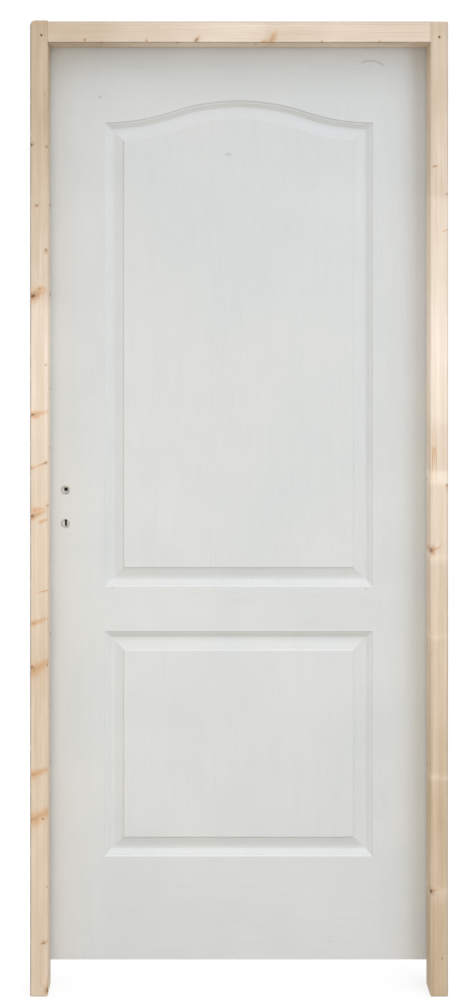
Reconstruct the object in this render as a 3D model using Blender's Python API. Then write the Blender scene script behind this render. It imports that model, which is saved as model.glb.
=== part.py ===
"""Interior door hung in its own pine frame: a pressed two-panel leaf with an arched upper panel,
two rebated jambs and a head, three lift-off hinges on the back, and a mortise lock without furniture.

Metres, +Z up. The origin is on the foot of the hinge jamb. -Y is the side of the stop, +Y the side
the leaf opens to, and the opening lies at -X of the hinge jamb.
"""

import math

import bmesh
import bpy
from mathutils import Matrix, Vector

MM = 0.001

# Frame: overall sizes, the section of jambs and head, and their joints
FRAME_WIDTH = 900 * MM
FRAME_HEIGHT = 2100 * MM
FRAME_DEPTH = 100 * MM
JAMB_FACE = 38 * MM
HEAD_FACE = 46 * MM
STOP_DEPTH = 55 * MM
STOP_HEIGHT = 15 * MM
LOCK_JAMB_HORN = 2.5 * MM
ARRIS = 3 * MM
ARRIS_STEPS = 3
WORN_CORNER = 11 * MM
WORN_CORNER_STEPS = 5
TENON_LENGTH = 22 * MM
TENON_THICKNESS = 24 * MM
TENON_SHOULDER = 10 * MM

# Clearances
SEAT = 0.3 * MM
LEAF_TO_STOP = 5 * MM
HINGE_GAP = 5 * MM
LOCK_GAP = 6.5 * MM
HEAD_GAP = 5 * MM
FLOOR_GAP = 50 * MM

# How far a cutting shape reaches past the face that it opens
OVERCUT = 4 * MM

# Leaf: thickness, pressed skins and the softwood frame between them
LEAF_THICKNESS = 40 * MM
SKIN = 3.2 * MM
STILE_WIDTH = 35 * MM
RAIL_HEIGHT = 35 * MM
LOCK_BLOCK_HEIGHT = 320 * MM
BLOCK_TO_MOULDING = 5 * MM

# Panels: the flat margins from the leaf's edges to the outer edge of their moulding. The middle rail is
# the flat band between the two panels, at the height of the lock.
SIDE_MARGIN = 126 * MM
TOP_MARGIN = 173 * MM
BOTTOM_MARGIN = 226 * MM
MIDDLE_RAIL = 97 * MM
MIDDLE_RAIL_BELOW_KEY = 139 * MM
ARCH_RISE = 48.5 * MM
ARC_STEPS = 8

# Moulding, from its outer edge inwards: distance and depth below the field. A quirk, an ogee with two
# fillets down to the valley, a long bevel up again and a small step to the raised panel.
MOULDING = [
    (0 * MM, 0.0 * MM),
    (1.2 * MM, 1.5 * MM),
    (3.4 * MM, 1.8 * MM),
    (4.8 * MM, 3.4 * MM),
    (7.2 * MM, 4.1 * MM),
    (9.2 * MM, 5.4 * MM),
    (10.2 * MM, 6.7 * MM),
    (13.0 * MM, 7.3 * MM),
    (14.4 * MM, 8.8 * MM),
    (18.0 * MM, 9.5 * MM),
    (21.0 * MM, 9.3 * MM),
    (39.5 * MM, 3.9 * MM),
    (41.5 * MM, 3.5 * MM),
    (43.6 * MM, 1.0 * MM),
    (45.0 * MM, 0.7 * MM),
]

# Lock: a mortise case with a square spindle follower and a keyhole
BACKSET = 40 * MM
SPINDLE_HEIGHT = 1082 * MM
KEY_SPACING = 74 * MM
SKIN_HOLE = 20 * MM
SPINDLE_SQUARE = 8 * MM
FOLLOWER_DIAMETER = 17 * MM
KEYHOLE_HEAD = 6.5 * MM
KEYHOLE_SLOT = 4.6 * MM
KEYHOLE_HEAD_RISE = 5.5 * MM
KEYHOLE_DROP = 7 * MM
CASE_THICKNESS = 15 * MM
CASE_DEPTH = 60 * MM
CASE_HEIGHT = 165 * MM
FACEPLATE_WIDTH = 20 * MM
FACEPLATE_HEIGHT = 230 * MM
FACEPLATE_THICKNESS = 3 * MM
BOLT_LENGTH = 22 * MM
LATCH_SLOPE = 9 * MM
LATCH_SIZE = (11 * MM, 28 * MM)
DEAD_BOLT_SIZE = (8 * MM, 32 * MM)
LATCH_ABOVE_SPINDLE = 12 * MM
DEAD_BOLT_BELOW_KEY = 2 * MM

# Strike plate on the lock jamb
STRIKE_WIDTH = 24 * MM
STRIKE_HEIGHT = 175 * MM
STRIKE_THICKNESS = 2 * MM
STRIKE_WINDOW_PLAY = 3 * MM
STRIKE_POCKET_DEPTH = 15 * MM
PLATE_END_STEPS = 6

# Hinges: lift-off butts with the pin in the frame half
HINGE_FROM_LEAF_TOP = 214 * MM
HINGE_FROM_LEAF_BOTTOM = 200 * MM
HINGE_LENGTH = 100 * MM
HINGE_LEAF_WIDTH = 30 * MM
HINGE_PLATE = 2.5 * MM
BARREL_RADIUS = 6.5 * MM
BARREL_TO_BACK = 0.5 * MM
PIN_RADIUS = 3.5 * MM
PIN_LENGTH = 38 * MM
PIN_CHAMFER = 1 * MM
PIN_PLAY = 0.3 * MM
PIN_END_PLAY = 1 * MM
FINIAL = 5 * MM
# The rounded end of a barrel, as shares of its radius and of the finial's height
FINIAL_CURVE = [(1.0, 0.0), (0.85, 0.5), (0.5, 0.85), (0.0, 1.0)]
ROUND_STEPS = 20
SHARP_ANGLE = 35

# Places worked out from the sizes above
FRONT_Y = -FRAME_DEPTH / 2
BACK_Y = FRAME_DEPTH / 2
STOP_Y = FRONT_Y + STOP_DEPTH
HINGE_OUTER_X = JAMB_FACE / 2
LOCK_OUTER_X = HINGE_OUTER_X - FRAME_WIDTH
HINGE_STOP_X = HINGE_OUTER_X - JAMB_FACE
LOCK_STOP_X = LOCK_OUTER_X + JAMB_FACE
HINGE_REBATE_X = HINGE_STOP_X + STOP_HEIGHT
LOCK_REBATE_X = LOCK_STOP_X - STOP_HEIGHT
HEAD_STOP_Z = FRAME_HEIGHT - HEAD_FACE
HEAD_REBATE_Z = HEAD_STOP_Z + STOP_HEIGHT

LEAF_FRONT_Y = STOP_Y + LEAF_TO_STOP
LEAF_BACK_Y = LEAF_FRONT_Y + LEAF_THICKNESS
LEAF_MIDDLE_Y = (LEAF_FRONT_Y + LEAF_BACK_Y) / 2
LEAF_HINGE_X = HINGE_REBATE_X - HINGE_GAP
LEAF_LOCK_X = LOCK_REBATE_X + LOCK_GAP
LEAF_BOTTOM = FLOOR_GAP
LEAF_TOP = HEAD_REBATE_Z - HEAD_GAP
PANEL_X = (LEAF_LOCK_X + LEAF_HINGE_X) / 2
PANEL_HALF = (LEAF_HINGE_X - LEAF_LOCK_X) / 2 - SIDE_MARGIN

PIN_X = (LEAF_HINGE_X + HINGE_REBATE_X) / 2
PIN_Y = max(LEAF_BACK_Y, BACK_Y) + BARREL_TO_BACK + BARREL_RADIUS

LOCK_X = LEAF_LOCK_X + BACKSET
KEY_HEIGHT = SPINDLE_HEIGHT - KEY_SPACING
LATCH_Z = SPINDLE_HEIGHT + LATCH_ABOVE_SPINDLE
DEAD_BOLT_Z = KEY_HEIGHT - DEAD_BOLT_BELOW_KEY
LOCK_MIDDLE_Z = (LATCH_Z + DEAD_BOLT_Z) / 2
UPPER_BOTTOM = KEY_HEIGHT - MIDDLE_RAIL_BELOW_KEY
UPPER_CORNER = LEAF_TOP - TOP_MARGIN
LOWER_TOP = UPPER_BOTTOM - MIDDLE_RAIL
LOWER_BOTTOM = LEAF_BOTTOM + BOTTOM_MARGIN

HINGE_LOW_Z = LEAF_BOTTOM + HINGE_FROM_LEAF_BOTTOM
HINGE_TOP_Z = LEAF_TOP - HINGE_FROM_LEAF_TOP
HINGE_HEIGHTS = {
    "hinge_low": HINGE_LOW_Z,
    "hinge_middle": (HINGE_LOW_Z + HINGE_TOP_Z) / 2,
    "hinge_top": HINGE_TOP_Z,
}


def start_empty():
    for old in list(bpy.data.objects):
        bpy.data.objects.remove(old, do_unlink=True)


def finish(name, colour, roughness, metallic=0.0):
    material = bpy.data.materials.new(name)
    material.use_nodes = True
    shader = material.node_tree.nodes["Principled BSDF"]
    shader.inputs["Base Color"].default_value = (*colour, 1.0)
    shader.inputs["Roughness"].default_value = roughness
    shader.inputs["Metallic"].default_value = metallic
    return material


def add_object(name, bm, material=None, carrier=None):
    """Puts the mesh in the scene; a carried piece turns with its carrier about the hinge pins."""
    bmesh.ops.recalc_face_normals(bm, faces=bm.faces)
    mesh = bpy.data.meshes.new(name)
    bm.to_mesh(mesh)
    bm.free()
    obj = bpy.data.objects.new(name, mesh)
    bpy.context.scene.collection.objects.link(obj)
    if material:
        mesh.materials.append(material)
    if carrier:
        obj.parent = carrier
        obj.matrix_parent_inverse = Matrix.Translation(carrier.location).inverted()
    return obj


def box_mesh(low, high):
    bm = bmesh.new()
    size = Vector(high) - Vector(low)
    middle = (Vector(high) + Vector(low)) / 2
    bmesh.ops.create_cube(bm, size=1.0, matrix=Matrix.Translation(middle) @ Matrix.Diagonal((*size, 1.0)))
    return bm


def extruded_mesh(outline, start, depth):
    """A flat outline, as points in space, pushed along the vector depth from the vector start."""
    bm = bmesh.new()
    corners = [bm.verts.new(Vector(point) + Vector(start)) for point in outline]
    bm.faces.new(corners)
    grown = bmesh.ops.extrude_face_region(bm, geom=list(bm.faces))["geom"]
    moved = [item for item in grown if isinstance(item, bmesh.types.BMVert)]
    bmesh.ops.translate(bm, verts=moved, vec=Vector(depth))
    bmesh.ops.recalc_face_normals(bm, faces=bm.faces)
    return bm


def ease_edges(bm, edges, radius, steps):
    bmesh.ops.bevel(
        bm, geom=edges, offset=radius, segments=steps, profile=0.5, affect="EDGES", clamp_overlap=True
    )


def turned_mesh(profile, x, y):
    """Turns (radius, height) points about the upright line at x, y; the ends lie on the line."""
    bm = bmesh.new()
    rings = []
    for radius, height in profile:
        if radius == 0:
            rings.append([bm.verts.new((x, y, height))])
            continue
        turns = [2 * math.pi * step / ROUND_STEPS for step in range(ROUND_STEPS)]
        rings.append(
            [bm.verts.new((x + radius * math.cos(a), y + radius * math.sin(a), height)) for a in turns]
        )
    for below, above in zip(rings, rings[1:]):
        for step in range(ROUND_STEPS):
            after = (step + 1) % ROUND_STEPS
            corners = [below[step % len(below)], below[after % len(below)]]
            corners += [above[after % len(above)], above[step % len(above)]]
            bm.faces.new(list(dict.fromkeys(corners)))
    return bm


def rod_mesh(diameter, x, z, y_low, y_high):
    """A round rod along Y."""
    bm = bmesh.new()
    place = Matrix.Translation((x, (y_low + y_high) / 2, z)) @ Matrix.Rotation(math.pi / 2, 4, "X")
    bmesh.ops.create_cone(
        bm,
        cap_ends=True,
        segments=ROUND_STEPS,
        radius1=diameter / 2,
        radius2=diameter / 2,
        depth=y_high - y_low,
        matrix=place,
    )
    return bm


def cutter(name, bm, carrier=None):
    tool = add_object(name, bm, carrier=carrier)
    tool.hide_render = True
    tool.display_type = "WIRE"
    return tool


def combine(obj, tools, operation="DIFFERENCE"):
    for tool in tools:
        modifier = obj.modifiers.new(tool.name, "BOOLEAN")
        modifier.operation = operation
        modifier.object = tool


def shade_round(obj):
    obj.data.shade_smooth()
    obj.data.set_sharp_from_angle(angle=math.radians(SHARP_ANGLE))


def stadium(width, height, y, z):
    """An upright plate outline with round ends, in the YZ plane."""
    radius = width / 2
    straight = height / 2 - radius
    points = []
    for side, start in ((1, 0.0), (-1, math.pi)):
        for step in range(PLATE_END_STEPS + 1):
            angle = start + math.pi * step / PLATE_END_STEPS
            up = side * straight + radius * math.sin(angle)
            points.append((0.0, y + radius * math.cos(angle), z + up))
    return points


# Frame


def jamb_mesh(outer_x, stop_x, rebate_x, height, worn_corner=0.0):
    """A rebated post with eased arrises, sharp where the head meets its face; its outer top corner may be
    rounded by knocks."""
    outline = [
        (outer_x, FRONT_Y, 0),
        (stop_x, FRONT_Y, 0),
        (stop_x, STOP_Y, 0),
        (rebate_x, STOP_Y, 0),
        (rebate_x, BACK_Y, 0),
        (outer_x, BACK_Y, 0),
    ]
    bm = extruded_mesh(outline, (0, 0, 0), (0, 0, height))
    if worn_corner:
        corner = []
        for edge in bm.edges:
            if all(math.dist((end.co.x, end.co.z), (outer_x, height)) < SEAT for end in edge.verts):
                corner.append(edge)
        ease_edges(bm, corner, worn_corner, WORN_CORNER_STEPS)
    bmesh.ops.bisect_plane(
        bm, geom=[*bm.verts, *bm.edges, *bm.faces], plane_co=(0, 0, HEAD_STOP_Z), plane_no=(0, 0, 1)
    )
    arrises = []
    for edge in bm.edges:
        beside_head = all(
            math.dist((end.co.x, end.co.y), (stop_x, FRONT_Y)) < SEAT and end.co.z > HEAD_STOP_Z - SEAT
            for end in edge.verts
        )
        if edge.calc_face_angle_signed() > math.radians(SHARP_ANGLE) and not beside_head:
            arrises.append(edge)
    ease_edges(bm, arrises, ARRIS, ARRIS_STEPS)
    return bm


def tenon_box(stop_x, direction, play):
    """The stub of the head that enters a jamb; play is added all round for its mortise."""
    start_x = stop_x - direction * TENON_LENGTH / 2
    end_x = stop_x + direction * (TENON_LENGTH + play)
    middle_y = (FRONT_Y + STOP_Y) / 2
    low = (
        min(start_x, end_x),
        middle_y - TENON_THICKNESS / 2 - play,
        HEAD_STOP_Z + TENON_SHOULDER - play,
    )
    high = (
        max(start_x, end_x),
        middle_y + TENON_THICKNESS / 2 + play,
        FRAME_HEIGHT - TENON_SHOULDER + play,
    )
    return box_mesh(low, high)


def make_head(pine):
    """The head's back part reaches the rebates, its front part fits between the stops."""
    left = LOCK_REBATE_X + SEAT
    right = HINGE_REBATE_X - SEAT
    outline = [
        (0, FRONT_Y, HEAD_STOP_Z),
        (0, STOP_Y, HEAD_STOP_Z),
        (0, STOP_Y, HEAD_REBATE_Z),
        (0, BACK_Y, HEAD_REBATE_Z),
        (0, BACK_Y, FRAME_HEIGHT),
        (0, FRONT_Y, FRAME_HEIGHT),
    ]
    bm = extruded_mesh(outline, (left, 0, 0), (right - left, 0, 0))
    long_edges = [
        edge
        for edge in bm.edges
        if edge.is_convex and abs(edge.verts[0].co.x - edge.verts[1].co.x) > FRAME_WIDTH / 2
    ]
    ease_edges(bm, long_edges, ARRIS, ARRIS_STEPS)
    head = add_object("head", bm, pine)
    below = HEAD_STOP_Z - OVERCUT
    above = FRAME_HEIGHT + OVERCUT
    for side, (low_x, high_x), stop_x, direction in (
        ("lock", (LOCK_OUTER_X, LOCK_STOP_X + SEAT), LOCK_STOP_X, -1),
        ("hinge", (HINGE_STOP_X - SEAT, HINGE_OUTER_X), HINGE_STOP_X, 1),
    ):
        notch = box_mesh((low_x, FRONT_Y - OVERCUT, below), (high_x, STOP_Y + SEAT, above))
        combine(head, [cutter(f"head_notch_{side}", notch)])
        combine(head, [cutter(f"head_tenon_{side}", tenon_box(stop_x, direction, 0))], "UNION")


def make_frame(pine):
    lock_jamb = add_object(
        "lock_jamb",
        jamb_mesh(LOCK_OUTER_X, LOCK_STOP_X, LOCK_REBATE_X, FRAME_HEIGHT + LOCK_JAMB_HORN, WORN_CORNER),
        pine,
    )
    hinge_jamb = add_object(
        "hinge_jamb", jamb_mesh(HINGE_OUTER_X, HINGE_STOP_X, HINGE_REBATE_X, FRAME_HEIGHT), pine
    )
    combine(lock_jamb, [cutter("lock_jamb_mortise", tenon_box(LOCK_STOP_X, -1, SEAT))])
    combine(hinge_jamb, [cutter("hinge_jamb_mortise", tenon_box(HINGE_STOP_X, 1, SEAT))])
    make_head(pine)
    return lock_jamb, hinge_jamb


def make_strike(lock_jamb, steel):
    """A plate let into the rebate, with a window and a pocket for each bolt."""
    plate = extruded_mesh(
        stadium(STRIKE_WIDTH, STRIKE_HEIGHT, LEAF_MIDDLE_Y, LOCK_MIDDLE_Z),
        (LOCK_REBATE_X, 0, 0),
        (-STRIKE_THICKNESS, 0, 0),
    )
    strike = add_object("strike_plate", plate, steel)
    recess = extruded_mesh(
        stadium(STRIKE_WIDTH + 2 * SEAT, STRIKE_HEIGHT + 2 * SEAT, LEAF_MIDDLE_Y, LOCK_MIDDLE_Z),
        (LOCK_REBATE_X + OVERCUT, 0, 0),
        (-OVERCUT - STRIKE_THICKNESS - SEAT, 0, 0),
    )
    combine(lock_jamb, [cutter("strike_recess", recess)])
    for name, (width, height), z in (
        ("latch", LATCH_SIZE, LATCH_Z),
        ("dead_bolt", DEAD_BOLT_SIZE, DEAD_BOLT_Z),
    ):
        half_y = width / 2 + STRIKE_WINDOW_PLAY
        half_z = height / 2 + STRIKE_WINDOW_PLAY
        window = box_mesh(
            (LOCK_REBATE_X - STRIKE_POCKET_DEPTH, LEAF_MIDDLE_Y - half_y, z - half_z),
            (LOCK_REBATE_X + OVERCUT, LEAF_MIDDLE_Y + half_y, z + half_z),
        )
        tool = cutter(f"strike_{name}_window", window)
        combine(strike, [tool])
        combine(lock_jamb, [tool])


# Leaf skins: one pressed sheet a side, with the moulding of both panels and the two lock holes


def panel_outline(bottom, corner, rise, inset):
    """The panel's edge at a distance inside its outer edge, as (x, z) points from the lower left corner.

    An arched top is two arcs a side that meet halfway without a kink: a hollow one that leaves the
    corner level and a round one over the crown.
    """
    half = PANEL_HALF
    points = [(PANEL_X - half + inset, bottom + inset), (PANEL_X + half - inset, bottom + inset)]
    if rise == 0:
        points += [(PANEL_X + half - inset, corner - inset), (PANEL_X - half + inset, corner - inset)]
        return points
    radius = ((half / 2) ** 2 + (rise / 2) ** 2) / rise
    turn = math.asin(half / 2 / radius)
    first = math.asin(inset / (radius + inset))
    arch = []
    for step in range(ARC_STEPS + 1):
        angle = first + (turn - first) * step / ARC_STEPS
        hollow = radius + inset
        arch.append((half - hollow * math.sin(angle), corner + radius - hollow * math.cos(angle)))
    for step in range(1, ARC_STEPS + 1):
        angle = turn * (1 - step / ARC_STEPS)
        crown = radius - inset
        arch.append((crown * math.sin(angle), corner + rise - radius + crown * math.cos(angle)))
    points += [(PANEL_X + x, z) for x, z in arch]
    points += [(PANEL_X - x, z) for x, z in reversed(arch[:-1])]
    return points


def hole_outline(z):
    turns = [2 * math.pi * step / ROUND_STEPS for step in range(ROUND_STEPS)]
    return [(LOCK_X + SKIN_HOLE / 2 * math.cos(a), z + SKIN_HOLE / 2 * math.sin(a)) for a in turns]


def ring(bm, outline, y):
    return [bm.verts.new((x, y, z)) for x, z in outline]


def ring_edges(bm, corners):
    found = []
    for here, after in zip(corners, corners[1:] + corners[:1]):
        found.append(bm.edges.get((here, after)) or bm.edges.new((here, after)))
    return found


def join_rings(bm, one, other):
    for index in range(len(one)):
        after = (index + 1) % len(one)
        bm.faces.new((one[index], one[after], other[after], other[index]))


def sheet_side(bm, y_of_depth, points):
    """One side of a skin: the field, and each panel's moulding as rings that step down its profile."""
    rectangle = [
        (LEAF_LOCK_X, LEAF_BOTTOM),
        (LEAF_HINGE_X, LEAF_BOTTOM),
        (LEAF_HINGE_X, LEAF_TOP),
        (LEAF_LOCK_X, LEAF_TOP),
    ]
    edge = ring(bm, rectangle, y_of_depth(0))
    holes = [ring(bm, hole_outline(z), y_of_depth(0)) for z in (SPINDLE_HEIGHT, KEY_HEIGHT)]
    openings = []
    for bottom, corner, rise in (
        (UPPER_BOTTOM, UPPER_CORNER, ARCH_RISE),
        (LOWER_BOTTOM, LOWER_TOP, 0),
    ):
        rings = []
        for inset, depth in points:
            rings.append(ring(bm, panel_outline(bottom, corner, rise, inset), y_of_depth(depth)))
        for one, other in zip(rings, rings[1:]):
            join_rings(bm, one, other)
        bm.faces.new(rings[-1])
        openings.append(rings[0])
    border = [line for loop in [edge, *holes, *openings] for line in ring_edges(bm, loop)]
    bmesh.ops.triangle_fill(bm, use_beauty=True, edges=border)
    return [edge, *holes]


def skin_mesh(face_y, inward):
    bm = bmesh.new()
    shown = sheet_side(bm, lambda depth: face_y + inward * depth, MOULDING)
    hidden = sheet_side(bm, lambda depth: face_y + inward * (depth + SKIN), MOULDING[::2])
    for one, other in zip(shown, hidden):
        join_rings(bm, one, other)
    return bm


# Leaf: the skins over the softwood frame that they are glued to


def make_leaf(carrier, white, softwood):
    front = add_object("front_skin", skin_mesh(LEAF_FRONT_Y, 1), white, carrier)
    back = add_object("back_skin", skin_mesh(LEAF_BACK_Y, -1), white, carrier)
    low_y = LEAF_FRONT_Y + SKIN + SEAT
    high_y = LEAF_BACK_Y - SKIN - SEAT
    inner_left = LEAF_LOCK_X + STILE_WIDTH + SEAT
    inner_right = LEAF_HINGE_X - STILE_WIDTH - SEAT
    slabs = {
        "lock_stile": ((LEAF_LOCK_X, LEAF_BOTTOM), (LEAF_LOCK_X + STILE_WIDTH, LEAF_TOP)),
        "hinge_stile": ((LEAF_HINGE_X - STILE_WIDTH, LEAF_BOTTOM), (LEAF_HINGE_X, LEAF_TOP)),
        "top_rail": ((inner_left, LEAF_TOP - RAIL_HEIGHT), (inner_right, LEAF_TOP)),
        "bottom_rail": ((inner_left, LEAF_BOTTOM), (inner_right, LEAF_BOTTOM + RAIL_HEIGHT)),
        "lock_block": (
            (inner_left, LOCK_MIDDLE_Z - LOCK_BLOCK_HEIGHT / 2),
            (PANEL_X - PANEL_HALF - BLOCK_TO_MOULDING, LOCK_MIDDLE_Z + LOCK_BLOCK_HEIGHT / 2),
        ),
    }
    pieces = {"front_skin": front, "back_skin": back}
    for name, ((x_low, z_low), (x_high, z_high)) in slabs.items():
        pieces[name] = add_object(
            name, box_mesh((x_low, low_y, z_low), (x_high, high_y, z_high)), softwood, carrier
        )
    return pieces


# Lock


def keyhole_outline():
    """Round head above a narrow slot, as points in the XZ plane."""
    radius = KEYHOLE_HEAD / 2
    half = KEYHOLE_SLOT / 2
    head_z = KEY_HEIGHT + KEYHOLE_HEAD_RISE
    start = math.asin(half / radius)
    steps = ROUND_STEPS // 2
    points = [(LOCK_X - half, 0, KEY_HEIGHT - KEYHOLE_DROP), (LOCK_X + half, 0, KEY_HEIGHT - KEYHOLE_DROP)]
    for step in range(steps + 1):
        angle = -math.pi / 2 + start + (2 * math.pi - 2 * start) * step / steps
        points.append((LOCK_X + radius * math.cos(angle), 0, head_z + radius * math.sin(angle)))
    return points


def bolt_mesh(size, z, slope):
    """A bolt drawn back flush with the faceplate; the latch's nose slopes back towards the stop."""
    width, height = size
    outline = [
        (LEAF_LOCK_X + slope, LEAF_MIDDLE_Y - width / 2, z - height / 2),
        (LEAF_LOCK_X + BOLT_LENGTH, LEAF_MIDDLE_Y - width / 2, z - height / 2),
        (LEAF_LOCK_X + BOLT_LENGTH, LEAF_MIDDLE_Y + width / 2, z - height / 2),
        (LEAF_LOCK_X, LEAF_MIDDLE_Y + width / 2, z - height / 2),
    ]
    return extruded_mesh(outline, (0, 0, 0), (0, 0, height))


def bolt_way_mesh(size, z):
    half_y = size[0] / 2 + SEAT
    half_z = size[1] / 2 + SEAT
    return box_mesh(
        (LEAF_LOCK_X - OVERCUT, LEAF_MIDDLE_Y - half_y, z - half_z),
        (LEAF_LOCK_X + BOLT_LENGTH + SEAT, LEAF_MIDDLE_Y + half_y, z + half_z),
    )


def make_lock(carrier, leaf, steel, zinc, brass):
    case_front = LEAF_LOCK_X + FACEPLATE_THICKNESS + SEAT
    half_case = CASE_THICKNESS / 2

    def case_box(play):
        return box_mesh(
            (case_front - play, LEAF_MIDDLE_Y - half_case - play, LOCK_MIDDLE_Z - CASE_HEIGHT / 2 - play),
            (
                LEAF_LOCK_X + CASE_DEPTH + play,
                LEAF_MIDDLE_Y + half_case + play,
                LOCK_MIDDLE_Z + CASE_HEIGHT / 2 + play,
            ),
        )

    case = add_object("lock_case", case_box(0), zinc, carrier)
    faceplate = add_object(
        "lock_faceplate",
        extruded_mesh(
            stadium(FACEPLATE_WIDTH, FACEPLATE_HEIGHT, LEAF_MIDDLE_Y, LOCK_MIDDLE_Z),
            (LEAF_LOCK_X, 0, 0),
            (FACEPLATE_THICKNESS, 0, 0),
        ),
        steel,
        carrier,
    )
    recess = extruded_mesh(
        stadium(FACEPLATE_WIDTH + 2 * SEAT, FACEPLATE_HEIGHT + 2 * SEAT, LEAF_MIDDLE_Y, LOCK_MIDDLE_Z),
        (LEAF_LOCK_X - OVERCUT, 0, 0),
        (OVERCUT + FACEPLATE_THICKNESS + SEAT, 0, 0),
    )
    pocket = cutter("lock_pocket", case_box(SEAT), carrier)
    combine(leaf["lock_stile"], [cutter("faceplate_recess", recess, carrier), pocket])
    combine(leaf["lock_block"], [pocket])

    for name, size, z, slope in (
        ("latch_bolt", LATCH_SIZE, LATCH_Z, LATCH_SLOPE),
        ("dead_bolt", DEAD_BOLT_SIZE, DEAD_BOLT_Z, 0.0),
    ):
        add_object(name, bolt_mesh(size, z, slope), brass, carrier)
        way = cutter(f"{name}_way", bolt_way_mesh(size, z), carrier)
        combine(case, [way])
        combine(faceplate, [way])

    through = (LEAF_FRONT_Y - OVERCUT, LEAF_BACK_Y + OVERCUT)
    bore = rod_mesh(FOLLOWER_DIAMETER + 2 * SEAT, LOCK_X, SPINDLE_HEIGHT, *through)
    keyhole = extruded_mesh(keyhole_outline(), (0, through[0], 0), (0, through[1] - through[0], 0))
    combine(case, [cutter("follower_bore", bore, carrier), cutter("keyhole", keyhole, carrier)])
    for name, z in (("spindle_drilling", SPINDLE_HEIGHT), ("key_drilling", KEY_HEIGHT)):
        drilling = cutter(name, rod_mesh(SKIN_HOLE, LOCK_X, z, *through), carrier)
        combine(leaf["lock_block"], [drilling])
        combine(leaf["lock_stile"], [drilling])

    follower = add_object(
        "lock_follower",
        rod_mesh(
            FOLLOWER_DIAMETER, LOCK_X, SPINDLE_HEIGHT, LEAF_MIDDLE_Y - half_case, LEAF_MIDDLE_Y + half_case
        ),
        steel,
        carrier,
    )
    half_square = SPINDLE_SQUARE / 2
    square = box_mesh(
        (LOCK_X - half_square, through[0], SPINDLE_HEIGHT - half_square),
        (LOCK_X + half_square, through[1], SPINDLE_HEIGHT + half_square),
    )
    combine(follower, [cutter("spindle_square", square, carrier)])


# Hinges


def hinge_plate_box(face_x, into, z_low, z_high, play=0.0, overcut=0.0):
    """A hinge plate let into a face; into is the X direction of the wood behind that face.

    Play widens it to the plate's recess, and overcut carries it out past the face and the back.
    """
    edges = (face_x - into * overcut, face_x + into * (HINGE_PLATE + play))
    return box_mesh(
        (min(edges), BACK_Y - HINGE_LEAF_WIDTH - play, z_low - play),
        (max(edges), BACK_Y + overcut, z_high + play),
    )


def neck_box(face_x, into, z_low, z_high):
    """The stretch of plate that curls into the barrel."""
    edges = (face_x, face_x + into * HINGE_PLATE)
    bore_edge = PIN_Y - PIN_RADIUS - PIN_PLAY
    return box_mesh((min(edges), BACK_Y - HINGE_PLATE, z_low), (max(edges), bore_edge, z_high))


def make_hinge(name, middle, carrier, hinge_jamb, leaf, steel):
    """The frame half has the lower barrel and the pin, the leaf half a capped barrel that drops over it."""
    low = middle - HINGE_LENGTH / 2
    high = middle + HINGE_LENGTH / 2
    pin_top = middle + PIN_LENGTH
    frame_barrel = [(BARREL_RADIUS * wide, low - FINIAL * out) for wide, out in reversed(FINIAL_CURVE)]
    frame_barrel += [
        (BARREL_RADIUS, middle - SEAT / 2),
        (PIN_RADIUS, middle - SEAT / 2),
        (PIN_RADIUS, pin_top - PIN_CHAMFER),
        (PIN_RADIUS - PIN_CHAMFER, pin_top),
        (0, pin_top),
    ]
    leaf_barrel = [
        (0, pin_top + PIN_END_PLAY),
        (PIN_RADIUS + PIN_PLAY, pin_top + PIN_END_PLAY),
        (PIN_RADIUS + PIN_PLAY, middle + SEAT / 2),
        (BARREL_RADIUS, middle + SEAT / 2),
    ]
    leaf_barrel += [(BARREL_RADIUS * wide, high + FINIAL * out) for wide, out in FINIAL_CURVE]
    frame_half = add_object(f"{name}_frame_half", turned_mesh(frame_barrel, PIN_X, PIN_Y), steel)
    leaf_half = add_object(f"{name}_leaf_half", turned_mesh(leaf_barrel, PIN_X, PIN_Y), steel, carrier)
    shade_round(frame_half)
    shade_round(leaf_half)
    halves = (
        (frame_half, HINGE_REBATE_X, 1, low, middle - SEAT / 2, None, "frame"),
        (leaf_half, LEAF_HINGE_X, -1, middle + SEAT / 2, high, carrier, "leaf"),
    )
    for half, face_x, into, neck_low, neck_high, turns_with, side in halves:
        plate = cutter(f"{name}_{side}_plate", hinge_plate_box(face_x, into, low, high), turns_with)
        neck = cutter(f"{name}_{side}_neck", neck_box(face_x, into, neck_low, neck_high), turns_with)
        combine(half, [plate, neck], "UNION")
        opening = hinge_plate_box(face_x, into, low, high, SEAT, OVERCUT)
        recess = cutter(f"{name}_{side}_recess", opening, turns_with)
        for piece in (hinge_jamb,) if side == "frame" else (leaf["hinge_stile"], leaf["back_skin"]):
            combine(piece, [recess])


def main():
    start_empty()
    pine = finish("pine", (0.66, 0.52, 0.39), 0.6)
    white = finish("white_skin", (0.68, 0.70, 0.68), 0.5)
    softwood = finish("softwood", (0.60, 0.48, 0.34), 0.7)
    steel = finish("plated_steel", (0.55, 0.55, 0.54), 0.35, 1.0)
    zinc = finish("lock_zinc", (0.50, 0.50, 0.48), 0.45, 1.0)
    brass = finish("bolt_brass", (0.60, 0.47, 0.25), 0.35, 1.0)

    carrier = bpy.data.objects.new("leaf_swing", None)
    carrier.location = (PIN_X, PIN_Y, 0)
    bpy.context.scene.collection.objects.link(carrier)

    lock_jamb, hinge_jamb = make_frame(pine)
    make_strike(lock_jamb, steel)
    leaf = make_leaf(carrier, white, softwood)
    make_lock(carrier, leaf, steel, zinc, brass)
    for name, middle in HINGE_HEIGHTS.items():
        make_hinge(name, middle, carrier, hinge_jamb, leaf, steel)


main()
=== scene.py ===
"""Interior door in its own pine frame: the finish of every surface, the pressed skins with their moulding,
and the nails and screws. The camera stands where the photograph was taken."""

import math

import bmesh
import bpy
from mathutils import Matrix, Vector


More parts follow.
